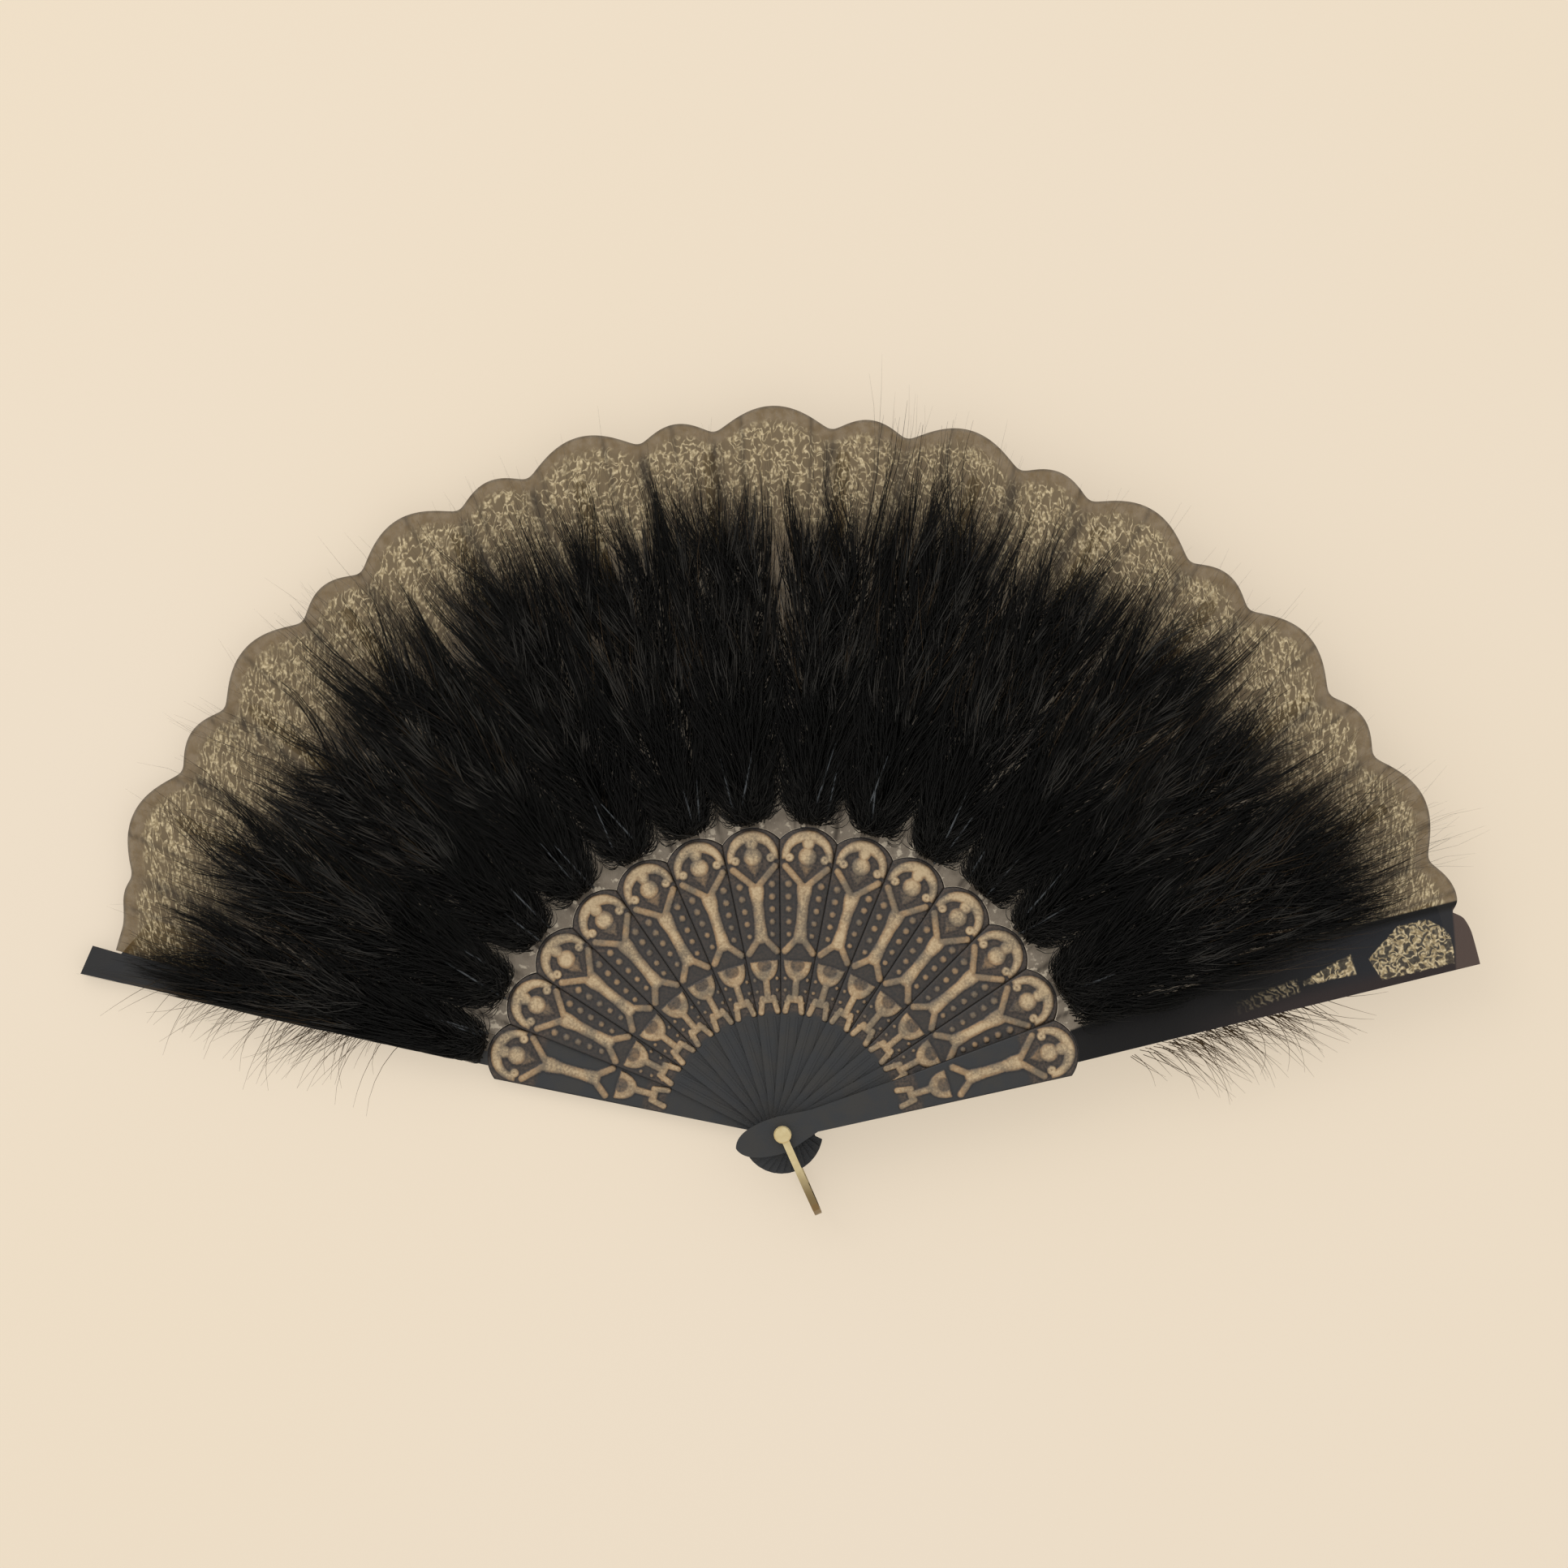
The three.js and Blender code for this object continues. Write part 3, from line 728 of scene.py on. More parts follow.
def shell(graph, along, off_line, wide, ragged):
    """A shell at the end of the front guard, with a slanted foot and a round end."""
    past_foot = along - off_line * SHELL_SLANT_SHARE - SHELL_START
    flare = past_foot * SHELL_FLARE_SHARE + SHELL_FOOT_HALF
    rounding = graph.blend(graph.step(off_line, *SHELL_LOWER_SIDE), *SHELL_ROUNDS)
    end = graph.maths("SQRT", graph.larger(SHELL_END - along, 0)) * rounding
    half = graph.smaller(graph.maths("SMOOTH_MIN", flare, end, SHELL_CORNER), SHELL_HALF)
    return graph.step(half + (ragged - 0.5) * SHELL_RAG - wide, 0, SHELL_SOFT)


def curl(graph, along, wide, ragged):
    """A small motif before the shell, which widens outward."""
    half = (along - CURL_START) * CURL_FLARE_SHARE + ragged * CURL_RAG + CURL_FOOT_HALF
    return graph.step(half - wide, *CURL_EDGE) * window(graph, along, CURL_START, CURL_END, CURL_SOFT)


def chain(graph, along, off_line, wide, ragged):
    """Slanted strokes that fade towards the fan's middle."""
    slanted = off_line * CHAIN_SLANT_SHARE + along + ragged * CHAIN_RAG
    beat = graph.maths("FRACT", graph.maths("DIVIDE", slanted, CHAIN_PITCH))
    links = window(graph, beat, *CHAIN_LINK_SHARES, CHAIN_SOFT_SHARE)
    fade = graph.step(along, CHAIN_START, CHAIN_END) * CHAIN_GOLD_SHARE
    ended = graph.step(along, CHAIN_END, CHAIN_END - CHAIN_END_SOFT)
    return links * graph.step(wide, *CHAIN_EDGE) * fade * ended


def guard_backing(graph, along, from_edge, shadow_band):
    """The colour of the dark cloth on the front guard, with its brown end and a painted shadow along
    its inner edge.
    """
    navy = graph.mix(graph.step(along, *NAVY_REACH), BACKING_NEAR, BACKING_FAR)
    low = graph.step(from_edge, *BROWN_ACROSS) * graph.step(along, *BROWN_ALONG)
    brown = graph.mix(low, navy, BACKING_BROWN)
    slanted = along - from_edge * BACKING_SLANT_SHARE
    past = graph.step(slanted, BACKING_END, BACKING_END + BACKING_END_SOFT)
    return graph.mix(shadow_band, graph.mix(past, brown, BACKING_PAST), BACKING_SHADOW)


def guard_cloth(graph, place, along, from_edge):
    """The dark cloth on the front guard: where it is, its colour, and its gold motifs."""
    beside = along * math.sin(GUARD_OUTER + PANEL_HALF)
    flared = graph.larger(along - BACKING_TURN, 0) * BACKING_FLARE_SHARE + beside
    inside = graph.smaller(flared, BACKING_WIDTH) - from_edge
    line = graph.smaller(along - MOTIF_BEND, 0) * MOTIF_BEND_SHARE + MOTIF_LINE
    off_line = from_edge - line
    wide = graph.maths("ABSOLUTE", off_line)
    ragged = graph.noise(place, *MOTIF_NOISE)
    ends = shell(graph, along, off_line, wide, ragged)
    motif = graph.larger(ends, curl(graph, along, wide, ragged))
    scroll = scroll_print(graph, place, MOTIF_STROKE) * (1 - SHELL_GROUND) + SHELL_GROUND
    gold = graph.larger(motif * scroll, chain(graph, along, off_line, wide, ragged) * ragged)
    # A painted shadow along the inner edge of the dark cloth.
    colour = guard_backing(graph, along, from_edge, graph.step(inside, *BACKING_SHADOW_BAND))
    return graph.step(inside, -BACKING_SOFT, BACKING_SOFT), colour, gold


def bare_leaf(graph, thread, along, inset):
    """The leaf's cloth without its print: paler near the heads, as painted light, and dark along its
    hem.
    """
    # Near the heads the cloth is painted paler: painted light.
    lightened = graph.mix(thread, *LEAF_LIGHTENED)
    cloth = graph.mix(graph.step(along, *LIGHTENED_REACH), graph.mix(thread, *LEAF_BLACK), lightened)
    return graph.mix(graph.step(inset, *HEM) * HEM_DARK_SHARE, cloth, LEAF_HEM)


def leaf_cover(graph, place, thread, ground, dense):
    """How little shows through the leaf."""
    mottle = graph.step(graph.noise(place, *MOTTLE_NOISE), *MOTTLE_STEP)
    open_weave = graph.blend(thread, *THREAD_COVERS) + mottle * MOTTLE_COVER
    return graph.blend(dense, graph.blend(ground, open_weave, INK_COVER), GOLD_COVER)


def leaf_cloth():
    """Sheer black weave with a fine gold scroll print inside a plain border. Over the front
    guard it is backed with dark cloth."""
    graph = Graph("sheer_leaf")
    place = graph.place()
    weave = graph.attribute("weave", "Vector")
    along, from_edge = graph.split(weave)[1:]
    inset = graph.attribute("inset")
    thread = graph.noise(graph.scaled(weave, THREAD_SCALES), *WEAVE_NOISE)
    streak = graph.step(graph.noise(graph.scaled(weave, STREAK_SCALES), *WEAVE_NOISE), *STREAK_STEP)
    # Creases and notch folds are darker, partly where the cloth lies double and denser, partly as
    # painted shade.
    deep = graph.attribute("crease") * graph.blend(streak, *STREAK_SHARES)
    ground, gold = leaf_print(graph, place, weave, inset)
    foil = graph.mix(graph.step(graph.noise(place, *FLAKE_NOISE), *FLAKE_STEP), *FOIL)
    inked = graph.mix(ground, bare_leaf(graph, thread, along, inset), LEAF_INK)
    folded = graph.mix(deep, graph.mix(gold, inked, foil), LEAF_FOLD_SHADE)
    lump = graph.step(graph.noise(place, *GLINT_NOISE), *GLINT_STEP)
    leaf = graph.mix(graph.step(along, *HEAD_GLINTS) * lump, folded, LEAF_GLINT)
    backed, backing, motif = guard_cloth(graph, place, along, from_edge)
    shine = graph.blend(backed, gold, motif)
    cover = leaf_cover(graph, place, thread, ground, graph.larger(gold, deep))
    graph.set(
        Base_Color=graph.mix(backed, leaf, graph.mix(motif, backing, foil)),
        Metallic=shine * CLOTH_METAL,
        Roughness=graph.blend(shine, *CLOTH_ROUGHNESSES),
        Alpha=graph.blend(backed, cover, BACKING_COVER),
        Specular_IOR_Level=CLOTH_GLOSS,
    )
    graph.bump(thread, *CLOTH_BUMP)
    return graph.material


def feather_down():
    """Black down, with a slate sheen painted on some barbs, and brown loose ends."""
    graph = Graph("feather_down")
    tone = graph.attribute("tone")
    slate = graph.mix(graph.step(tone, 0, SLATE_TONE), DOWN_BLACK, DOWN_SLATE)
    colour = graph.mix(graph.step(tone, SLATE_TONE, 1), slate, DOWN_BROWN)
    graph.set(Base_Color=colour, Roughness=DOWN_ROUGHNESS, Specular_IOR_Level=DOWN_GLOSS)
    return graph.material


def quill_horn():
    graph = Graph("quill_horn")
    colour = graph.mix(graph.noise(graph.place(), *HORN_NOISE), *HORN)
    graph.set(Base_Color=colour, Roughness=HORN_ROUGHNESS)
    return graph.material


def floor_paper():
    """Cream paper. Much of what the camera sees of it is plain, so shadows stay faint."""
    graph = Graph("floor_paper")
    colour = graph.mix(graph.noise(graph.place(), *PAPER_NOISE), PAPER, PAPER_PALE)
    graph.set(Base_Color=colour, Roughness=PAPER_ROUGHNESS, Specular_IOR_Level=0)
    seen = graph.output("ShaderNodeLightPath", "Is Camera Ray") * PAPER_GLOW_SHARE
    glow = graph.output("ShaderNodeEmission", 0, {"Color": colour})
    lit = Value(graph, graph.shader.outputs[0])
    surface = graph.output("ShaderNodeMixShader", 0, {0: seen, 1: lit, 2: glow})
    graph.feed(graph.tree.nodes["Material Output"].inputs["Surface"], surface)
    return graph.material


# Leaf

def head_arc():
    half = sector_half(HEAD_CORNER) + HEAD_LAP
    rise = HEAD_TOP - HEAD_CORNER
    radius = (half * half + rise * rise) / (2 * rise)
    return radius, HEAD_TOP - radius


def leaf_inner(angle):
    """The leaf's inner edge, just clear of the stick heads."""
    from_stick = angle - PITCH * (np.round(angle / PITCH - 0.5) + 0.5)
    radius, centre = head_arc()
    across = centre * np.sin(from_stick)
    return centre * np.cos(from_stick) + np.sqrt(radius**2 - across**2) + HEAD_GAP


def from_big_scallop(angle):
    """How far an angle is from the middle of the nearest big scallop."""
    shifted = angle - SCALLOP_SHIFT
    return np.abs(shifted - SCALLOP_PAIR * np.round(shifted / SCALLOP_PAIR))


def rim_radius(angle):
    """Big and small scallops by turns, cut a little deeper on the right, and a plain end over
    each guard."""
    from_big = from_big_scallop(angle)
    small_half = SCALLOP_PAIR / 2 - BIG_SCALLOP_HALF
    is_big = from_big < BIG_SCALLOP_HALF
    along = np.where(is_big, from_big / BIG_SCALLOP_HALF, (SCALLOP_PAIR / 2 - from_big) / small_half)
    rise = np.where(is_big, BIG_SCALLOP_RISE, SMALL_SCALLOP_RISE)
    rise = rise * np.maximum(0, 1 - along**2) ** SCALLOP_POWER
    scallops = RIM_NOTCH + np.hypot(rise, RIM_ROUND) - RIM_ROUND / 2
    from_swell = (angle - RIM_SWELL_AT) / RIM_SWELL_HALF
    scallops = scallops + RIM_LEAN * np.sin(angle) + RIM_SWELL * np.exp(-(from_swell**2))
    first, last = LEFT_SLOPE
    left = between(scallops, LEFT_RIM_END, smooth((angle - first) / (last - first)))
    past = RIGHT_RIM_ANGLE - angle
    turned_in = 1 - np.clip(past / RIGHT_RIM_TURN, 0, 1)
    right = between(left, RIGHT_RIM_END, np.sqrt(1 - turned_in**2))
    return right - RIGHT_NOTCH_DEPTH * np.exp(-((past / RIGHT_NOTCH_HALF) ** 2))


def notch_fold_shade(angle, inset):
    """How much painted shade darkens the leaf in the folds that run in from the notches of its rim.
    """
    from_notch = from_big_scallop(angle) - BIG_SCALLOP_HALF
    return np.exp(-((from_notch / NOTCH_FOLD_HALF) ** 2)) * smooth(inset / NOTCH_FOLD_START)


def leaf_levels(index):
    """The heights of the leaf on stick index - 1 and on stick index."""
    return leaf_top(index - 1) - SHEET_SINK, leaf_top(index) - SHEET_SINK


def leaf_height(angle, index):
    """The leaf between stick index - 1 and stick index: flat on both, and a free fold between
    a valley crease and a mountain crease."""
    low, high = leaf_levels(index)
    start = stick_angle(index - 1) - PANEL_HALF
    end = stick_angle(index) + PANEL_HALF
    share = np.clip((angle - start) / (end - start), 0, 1)
    valley = np.maximum(0, 1 - np.abs(angle - start) / CREASE_HALF)
    mountain = np.maximum(0, 1 - np.abs(angle - end) / CREASE_HALF)
    return between(low, high, share) + CREASE * (mountain - valley), share, valley + mountain


def leaf_piece(name, from_angle, to_angle, index, cloth):
    """A stretch of leaf between two angles, as a grid of radii and angles."""
    columns = max(2, round((from_angle - to_angle) / ANGLE_STEP)) + 1
    angles = np.linspace(from_angle, to_angle, columns)
    inner, outer = leaf_inner(angles), rim_radius(angles)
    rows = round((RIM_NOTCH - HEAD_TOP) / RADIUS_STEP)
    radii = between(inner, outer, np.linspace(0, 1, rows)[:, None])
    height, share, crease = leaf_height(angles, index)
    wave = np.sin(radii * WRINKLES_PER_MM + angles * WRINKLE_DRIFT)
    z = height + WRINKLE * np.sin(np.pi * share) * (np.sin(angles * WRINKLES_PER_RADIAN) * wave)
    points = np.stack([-radii * np.sin(angles), radii * np.cos(angles), z], axis=-1)
    piece = made(name, points, grid_faces(rows, columns).tolist(), cloth)
    inset = outer - radii
    # Painted shade in the folds from the notches, and along the creases.
    folded = NOTCH_SHADE_SHARE * notch_fold_shade(angles, inset)
    store(piece, "inset", inset)
    store(piece, "crease", np.maximum(CREASE_SHADE_SHARE * crease, folded))
    from_edge = radii * np.sin(angles + OPEN_ANGLE / 2 + GUARD_OUTER)
    flat = np.stack([radii * angles, radii, from_edge], axis=-1)
    store(piece, "weave", flat, "FLOAT_VECTOR", "vector")
    area = float(np.sum((outer**2 - inner**2) / 2) * abs(from_angle - to_angle) / columns)
    return piece, area


def declare_leaf(area):
    area * MM * MM


def leaf_span(index, cloth):
    """The leaf from one stick's centre line to the next one's, shaped with a fold between the two."""
    left = stick_angle(index - 1) + (REAR_PANEL_OUTER if index == 1 else 0)
    right = stick_angle(index) + (PANEL_HALF if index == FRONT else 0)
    piece, area = leaf_piece(f"leaf_{index:02d}", left, right, index, cloth)
    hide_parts(f"leaf_fold_{index:02d}", panel_node(index - 1))
    declare_leaf(area)
    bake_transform(piece)


def leaf_front(cloth):
    """The last panel, glued over the front guard."""
    left = stick_angle(FRONT) + PANEL_HALF
    right = stick_angle(FRONT) - GUARD_OUTER
    piece, area = leaf_piece("leaf_front", left, right, FRONT, cloth)
    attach(piece, BODIES[FRONT])
    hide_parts(panel_node(FRONT))
    declare_leaf(area)


# Plumes

def tubes(paths, radii, sides):
    """Closed tapering tubes along many paths of equally many points."""
    count, steps = paths.shape[:2]
    tangent = np.gradient(paths, axis=1)
    tangent /= np.linalg.norm(tangent, axis=2, keepdims=True)
    side = np.cross(tangent, (0.0, 0.0, 1.0))
    side /= np.maximum(np.linalg.norm(side, axis=2, keepdims=True), TINY)
    up = np.cross(side, tangent)
    turns = np.arange(sides) * 2 * math.pi / sides + math.pi / 2
    ring = side[:, :, None] * np.cos(turns)[:, None] + up[:, :, None] * np.sin(turns)[:, None]
    points = paths[:, :, None] + ring * radii[:, :, None, None]
    first = (np.arange(count) * steps * sides)[:, None, None]
    step = np.arange(steps - 1)[:, None] * sides
    here = np.arange(sides)
    after = (here + 1) % sides
    a = first + step + here
    b = first + step + after
    quads = np.stack([a, b, b + sides, a + sides], axis=-1).reshape(-1, 4)
    root = first[:, 0] + here[::-1]
    tip = first[:, 0] + (steps - 1) * sides + here
    return points.reshape(-1, 3), quads.tolist() + root.tolist() + tip.tolist()


def climb(across, along, index):
    """How much higher the leaf lies at a place beside a stick than on the stick."""
    angle = np.arctan2(across, along)
    fold = PITCH - 2 * PANEL_HALF
    right = np.clip((angle - PANEL_HALF) / fold, 0, CLIMB_REACH_SHARE)
    left = np.clip((-angle - PANEL_HALF) / fold, 0, 1)
    rise = leaf_top(index + 1) - leaf_top(index)
    return rise * right - CLIMB_DROP_SHARE * LEVEL_PITCH * left * (index > 0)


def shaft(radius, bow):
    """A feather's shaft: it bows out from its stick and then runs along beside it. A shaft that
    bows out further starts beside the stick."""
    beside = max(0, bow - FEATHER_BOW)
    share = np.clip((radius - PLUME_START) / (PLUME_TIPS - PLUME_START), 0, 1)
    bend = SHAFT_TURN * share
    slope = (bow - beside) * SHAFT_TURN * np.cos(bend) / (PLUME_TIPS - PLUME_START)
    return beside + (bow - beside) * np.sin(bend), np.arctan(slope)


def gathered(x, y, index, spread):
    """Barbs bend along their plume's edges, where the next plume lies beside them."""
    half = sector_half(y) * np.interp(y, WIDTH_PLACES, WIDTH_SHARES) * spread
    right = half * LAST_WIDTH_SHARE if index == RIBS else half
    guard_half = y * math.tan(GUARD_OUTER) * np.minimum(spread, GUARD_SPREAD_SHARE)
    left = guard_half if index == 0 else half
    return np.where(x < 0, left * np.tanh(x / left), right * np.tanh(x / right))


def walked(x, y, heading, length):
    """The places on paths of even strides, from their starts, their headings and their lengths."""
    stride = (length / (BARB_POINTS - 1))[:, None]
    x = x[:, None] + np.cumsum(np.sin(heading), axis=1) * stride
    return x, y[:, None] + np.cumsum(np.cos(heading), axis=1) * stride


def barbs(rng, kind, bow, index, size):
    """The barbs of one kind on one feather: their paths in the stick's frame, their radii and
    their tones."""
    count, locks, (first, last) = kind["count"], kind["locks"], kind["roots"]
    lock = rng.integers(locks, size=count)
    root = (rng.power(ROOT_POWER, locks) * (last - first) + first)[lock]
    root = np.clip(root + rng.normal(0, LOCK_LOOSE, count), first, last)
    side = rng.choice([-1.0, 1.0], locks)[lock]
    near_tip = np.clip((root - PLUME_START) / (PLUME_ROOTS_END - PLUME_START), 0, 1)
    length = rng.uniform(*kind["lengths"], locks)[lock] * rng.uniform(*BARB_SIZE_SHARES, count)
    length *= between(ROOT_SIZE_SHARE, 1, near_tip) * size
    splayed = rng.uniform(*kind["openings"], locks)[lock] + rng.normal(0, LOCK_SPLAY, count)
    opening = np.radians(splayed) * side * between(1, TIP_OPENING_SHARE, near_tip**2)
    sway = rng.normal(0, LOCK_SWAY, locks)[lock] + rng.normal(0, BARB_SWAY, count)
    lift = rng.uniform(*LIFT_SHARES, count) ** LIFT_POWER * PLUME_HEIGHT
    share = np.linspace(0, 1, BARB_POINTS)
    start, lean = shaft(root, bow)
    start += rng.uniform(-1, 1, count) * kind["aside"]
    straight = between(*BEND_POWERS, near_tip)[:, None]
    heading = lean[:, None] + opening[:, None] * (1 - share) ** straight + sway[:, None] * share
    heading += rng.normal(0, BARB_KINK, (count, BARB_POINTS))
    x, y = walked(start, root, heading, length)
    x = gathered(x, y, index, rng.uniform(*kind["spreads"], locks)[lock][:, None])
    arch = np.sin(np.pi * (ARCH_START_SHARE + ARCH_SHARE * share)) ** ARCH_POWER
    z = PLUME_SEAT + lift[:, None] * arch
    z += climb(x, y, index)
    thick = np.broadcast_to(kind["radius"] * (ROOT_THICK_SHARE - share**THICK_POWER), x.shape)
    return np.stack([x, y, z], axis=-1), thick, rng.uniform(*kind["tones"], locks)[lock]


def strays(rng, start_x, level, roots, lengths, away, drop):
    """Loose brown wisps that slip out past a guard and droop beside it: their paths, radii and
    tones."""
    share = np.linspace(0, 1, BARB_POINTS)
    turn = away * rng.uniform(*STRAY_TURN_SHARES, STRAYS)
    bend = away * rng.normal(*STRAY_BEND_SHARES, STRAYS)
    length = rng.uniform(*lengths, STRAYS)
    low, high = roots
    root = rng.triangular(low, between(low, high, STRAY_ROOT_SHARE), high, STRAYS)
    start = np.full(STRAYS, start_x)
    x, y = walked(start, root, turn[:, None] + bend[:, None] * share, length)
    droop = share**STRAY_DROOP_POWER * rng.uniform(*STRAY_DROOP_SHARES, STRAYS)[:, None]
    thick = np.broadcast_to(STRAY_RADIUS * (STRAY_THICK_SHARE - share), x.shape)
    paths = np.stack([x, y, level - drop * droop], axis=-1)
    return paths, thick, rng.uniform(*STRAY_TONES, STRAYS)


def strands_of(index, rng):
    """The paths, radii and tones of a plume's strands."""
    strands = []
    last = index == RIBS
    count = FEATHERS + LAST_FEATHERS * last
    for place in np.linspace(-1, LAST_BOW_SHARE if last else 1, count):
        bow = FEATHER_BOW * (place + rng.normal(0, FEATHER_SHIFT_SHARE))
        size = rng.uniform(*FEATHER_SIZE_SHARES)
        strands += [barbs(rng, kind, bow, index, size) for kind in KINDS]
    if index == 0:
        strands.append(strays(rng, 0, PLUME_SEAT, **REAR_STRAYS))
    return strands


def down_piece(name, index, level, strands, down):
    """A piece of down from its strands, in a stick's own frame and raised to a level."""
    points, faces = joined([tubes(paths, thick, BARB_SIDES) for paths, thick, _ in strands])
    piece = on_stick(name, index, level, points, faces, down)
    tones = [np.repeat(tone, BARB_POINTS * BARB_SIDES) for _, _, tone in strands]
    store(piece, "tone", np.concatenate(tones))
    return piece


def front_wisps(down):
    """Loose wisps of the last plume that hang out from under the front guard."""
    rng = np.random.default_rng(SEED + 2 * FRONT)
    start_x = FRONT_STRAY_LINE * math.tan(GUARD_OUTER)
    level = leaf_top(FRONT) - GUARD_THICKNESS
    wisps = [strays(rng, start_x, 0, **FRONT_STRAYS)]
    piece = down_piece("front_wisps", FRONT, level, wisps, down)
    pressed(piece)


def plume(index, down):
    """A tuft of feathers that lies along its stick."""
    strands = strands_of(index, np.random.default_rng(SEED + index))
    piece = down_piece(f"{plume_node(index)}_down", index, leaf_top(index), strands, down)
    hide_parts(plume_node(index))
    pressed(piece)


def pressed(piece):
    """Gives a piece its own copy of its mesh."""
    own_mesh(piece)


def quills(index, horn):
    """The bare ends of a plume's quills, glued on just beyond the stick's head."""
    rng = np.random.default_rng(SEED + FRONT + index)
    share = np.linspace(0, 1, QUILL_POINTS)
    arch = QUILL_RISE * np.sin(QUILL_ARCH_SHARE * np.pi * share**QUILL_ARCH_POWER)
    paths = []
    for _ in range(QUILLS):
        y = QUILL_START + rng.uniform(0, QUILL_STAGGER) + rng.uniform(*QUILL_LENGTHS) * share
        x = rng.uniform(-1, 1) * QUILL_ASIDE + rng.normal(0, QUILL_LEAN) * (y - QUILL_START)
        z = PLUME_SEAT + QUILL_RADIUS + arch
        paths.append(np.stack([x, y, z + climb(x, y, index)], axis=-1))
    thick = np.tile(QUILL_RADIUS * (1 - QUILL_TAPER_SHARE * share), (QUILLS, 1))
    points, faces = tubes(np.array(paths), thick, QUILL_SIDES)
    piece = on_stick(f"{plume_node(index)}_quills", index, leaf_top(index), points, faces, horn)
    pressed(piece)


# Stick relief, in a stick's own frame

def segment(x, y, start, end):
    """How far a place is from the line between two points."""
    step_x, step_y = end[0] - start[0], end[1] - start[1]
    along = (x - start[0]) * step_x + (y - start[1]) * step_y
    share = np.clip(along / (step_x**2 + step_y**2), 0, 1)
    return np.hypot(x - start[0] - share * step_x, y - start[1] - share * step_y)


def ellipse(x, y, centre, half, rise):
    """About how far a place lies outside an ellipse."""
    place = np.maximum(np.hypot(x / half, (y - centre) / rise), SINK)
    slope = np.hypot(x / half**2, (y - centre) / rise**2) / place
    return (place - 1) / np.maximum(slope, SINK)


def column(x, y, stations):
    """How far a place lies outside a column whose half width follows its stations."""
    halves = np.array([half for half, _ in stations])
    heights = np.array([height for _, height in stations])
    beside = np.abs(x) - np.interp(y, heights, halves)
    return np.maximum(beside, np.maximum(heights[0] - y, y - heights[-1]))


def swell(outside, radius):
    """The height of a rounded rise, as a share, from how far a place lies outside its edge."""
    inside = np.clip(-outside / radius, 0, 1)
    return np.sqrt(1 - (1 - inside) ** 2)


def on_tier(low, high, shares):
    across, along = shares
    radius = between(low, high, along)
    return across * sector_half(radius), radius


def upper(shares):
    return on_tier(TIER, HEAD_TOP, shares)


def lower(shares):
    return on_tier(GORGE_START, TIER, shares)


def crown(x, y):
    """The arch over the ball, with a curl at the end of each arm, and the ball."""
    centre = between(TIER, HEAD_TOP, BALL_SHARE)
    half = ARCH_HALF_SHARE * sector_half(centre)
    outer = ellipse(x, y, centre, half, ARCH_RISE)
    inner = ellipse(x, y, centre, half - ARCH_ARM, ARCH_RISE - ARCH_CROWN)
    arch = swell(np.maximum(np.maximum(outer, -inner), centre - VOLUTE - y), ARCH_ROUND)
    from_curl = np.hypot(np.abs(x) - half + ARCH_ARM, y - centre + VOLUTE / 2)
    dimple = 1 - DIMPLE_SHARE * np.exp(-((from_curl / CURL_DIMPLE) ** 2))
    curl = swell(from_curl - VOLUTE, VOLUTE / 2) * dimple
    ball = swell(np.hypot(x, y - centre) - BALL_RADIUS, BALL_ROUND)
    top = centre + ARCH_RISE - ARCH_CROWN
    lobe = swell(ellipse(x, y, top, *LOBE), ARCH_ROUND)
    return np.maximum.reduce((arch, curl, ball, lobe))


def arms(x, y):
    """The two arms of the Y under the ball, the two feet of its column, and a dart between."""
    arm = segment(np.abs(x), y, upper(V_FOOT_SHARES), upper(V_TOP_SHARES)) - STRAP / 2
    foot = segment(np.abs(x), y, upper(STALK_FOOT_SHARES), upper(FOOT_END_SHARES)) - STRAP / 2
    from_crotch = y - upper(V_FOOT_SHARES)[1] - STRAP
    dart = np.maximum(np.abs(x) - DART_WIDTH_SHARE * from_crotch, from_crotch - DART_RISE)
    straps = np.maximum(swell(arm, STRAP_ROUND), swell(foot, STRAP_ROUND))
    return np.maximum(straps, DART_SHARE * swell(dart, DART_ROUND))


def stalk(x, y):
    """The column of the Y."""
    return swell(column(x, y, [upper(shares) for shares in STALK_SHARES]), STALK_ROUND)


def pedestal(x, y):
    """The lower tier: a crescent round a shallow bowl, on a stem with two feet."""
    place = between(GORGE_START, TIER, CRESCENT_SHARE)
    half = sector_half(place)
    depth = TIER - GORGE_START
    outer = ellipse(x, y, place, CRESCENT_HALF_SHARE * half, CRESCENT_DEPTH_SHARE * depth)
    across, deep = HOLLOW_SHARES[0] * half, HOLLOW_SHARES[1] * depth
    hollow = ellipse(x, y, place - HOLLOW_DROP, across, deep)
    bowl = np.maximum(outer, y - place)
    rim = swell(np.maximum(bowl, -hollow), STRAP_ROUND)
    stem = swell(column(x, y, [lower(shares) for shares in STEM_SHARES]), STRAP_ROUND)
    top, end = lower(PEDESTAL_TOP_SHARES), lower(PEDESTAL_FOOT_SHARES)
    foot = swell(segment(np.abs(x), y, top, end) - PEDESTAL_STRAP / 2, PEDESTAL_ROUND)
    return np.maximum.reduce((rim, BOWL_FLOOR_SHARE * swell(bowl, STRAP_ROUND), stem, foot))


def beads(x, y, low, high, count, shares, sizes, inset):
    """A row of beads down each side of a tier."""
    rise = np.zeros_like(x)
    for share in np.linspace(0, 1, count):
        radius = between(low, high, between(*shares, share))
        size = between(*sizes, share)
        place = sector_half(radius) - inset
        rise = np.maximum(rise, swell(np.hypot(np.abs(x) - place, y - radius) - size, size))
    return BEAD_RISE_SHARE * rise


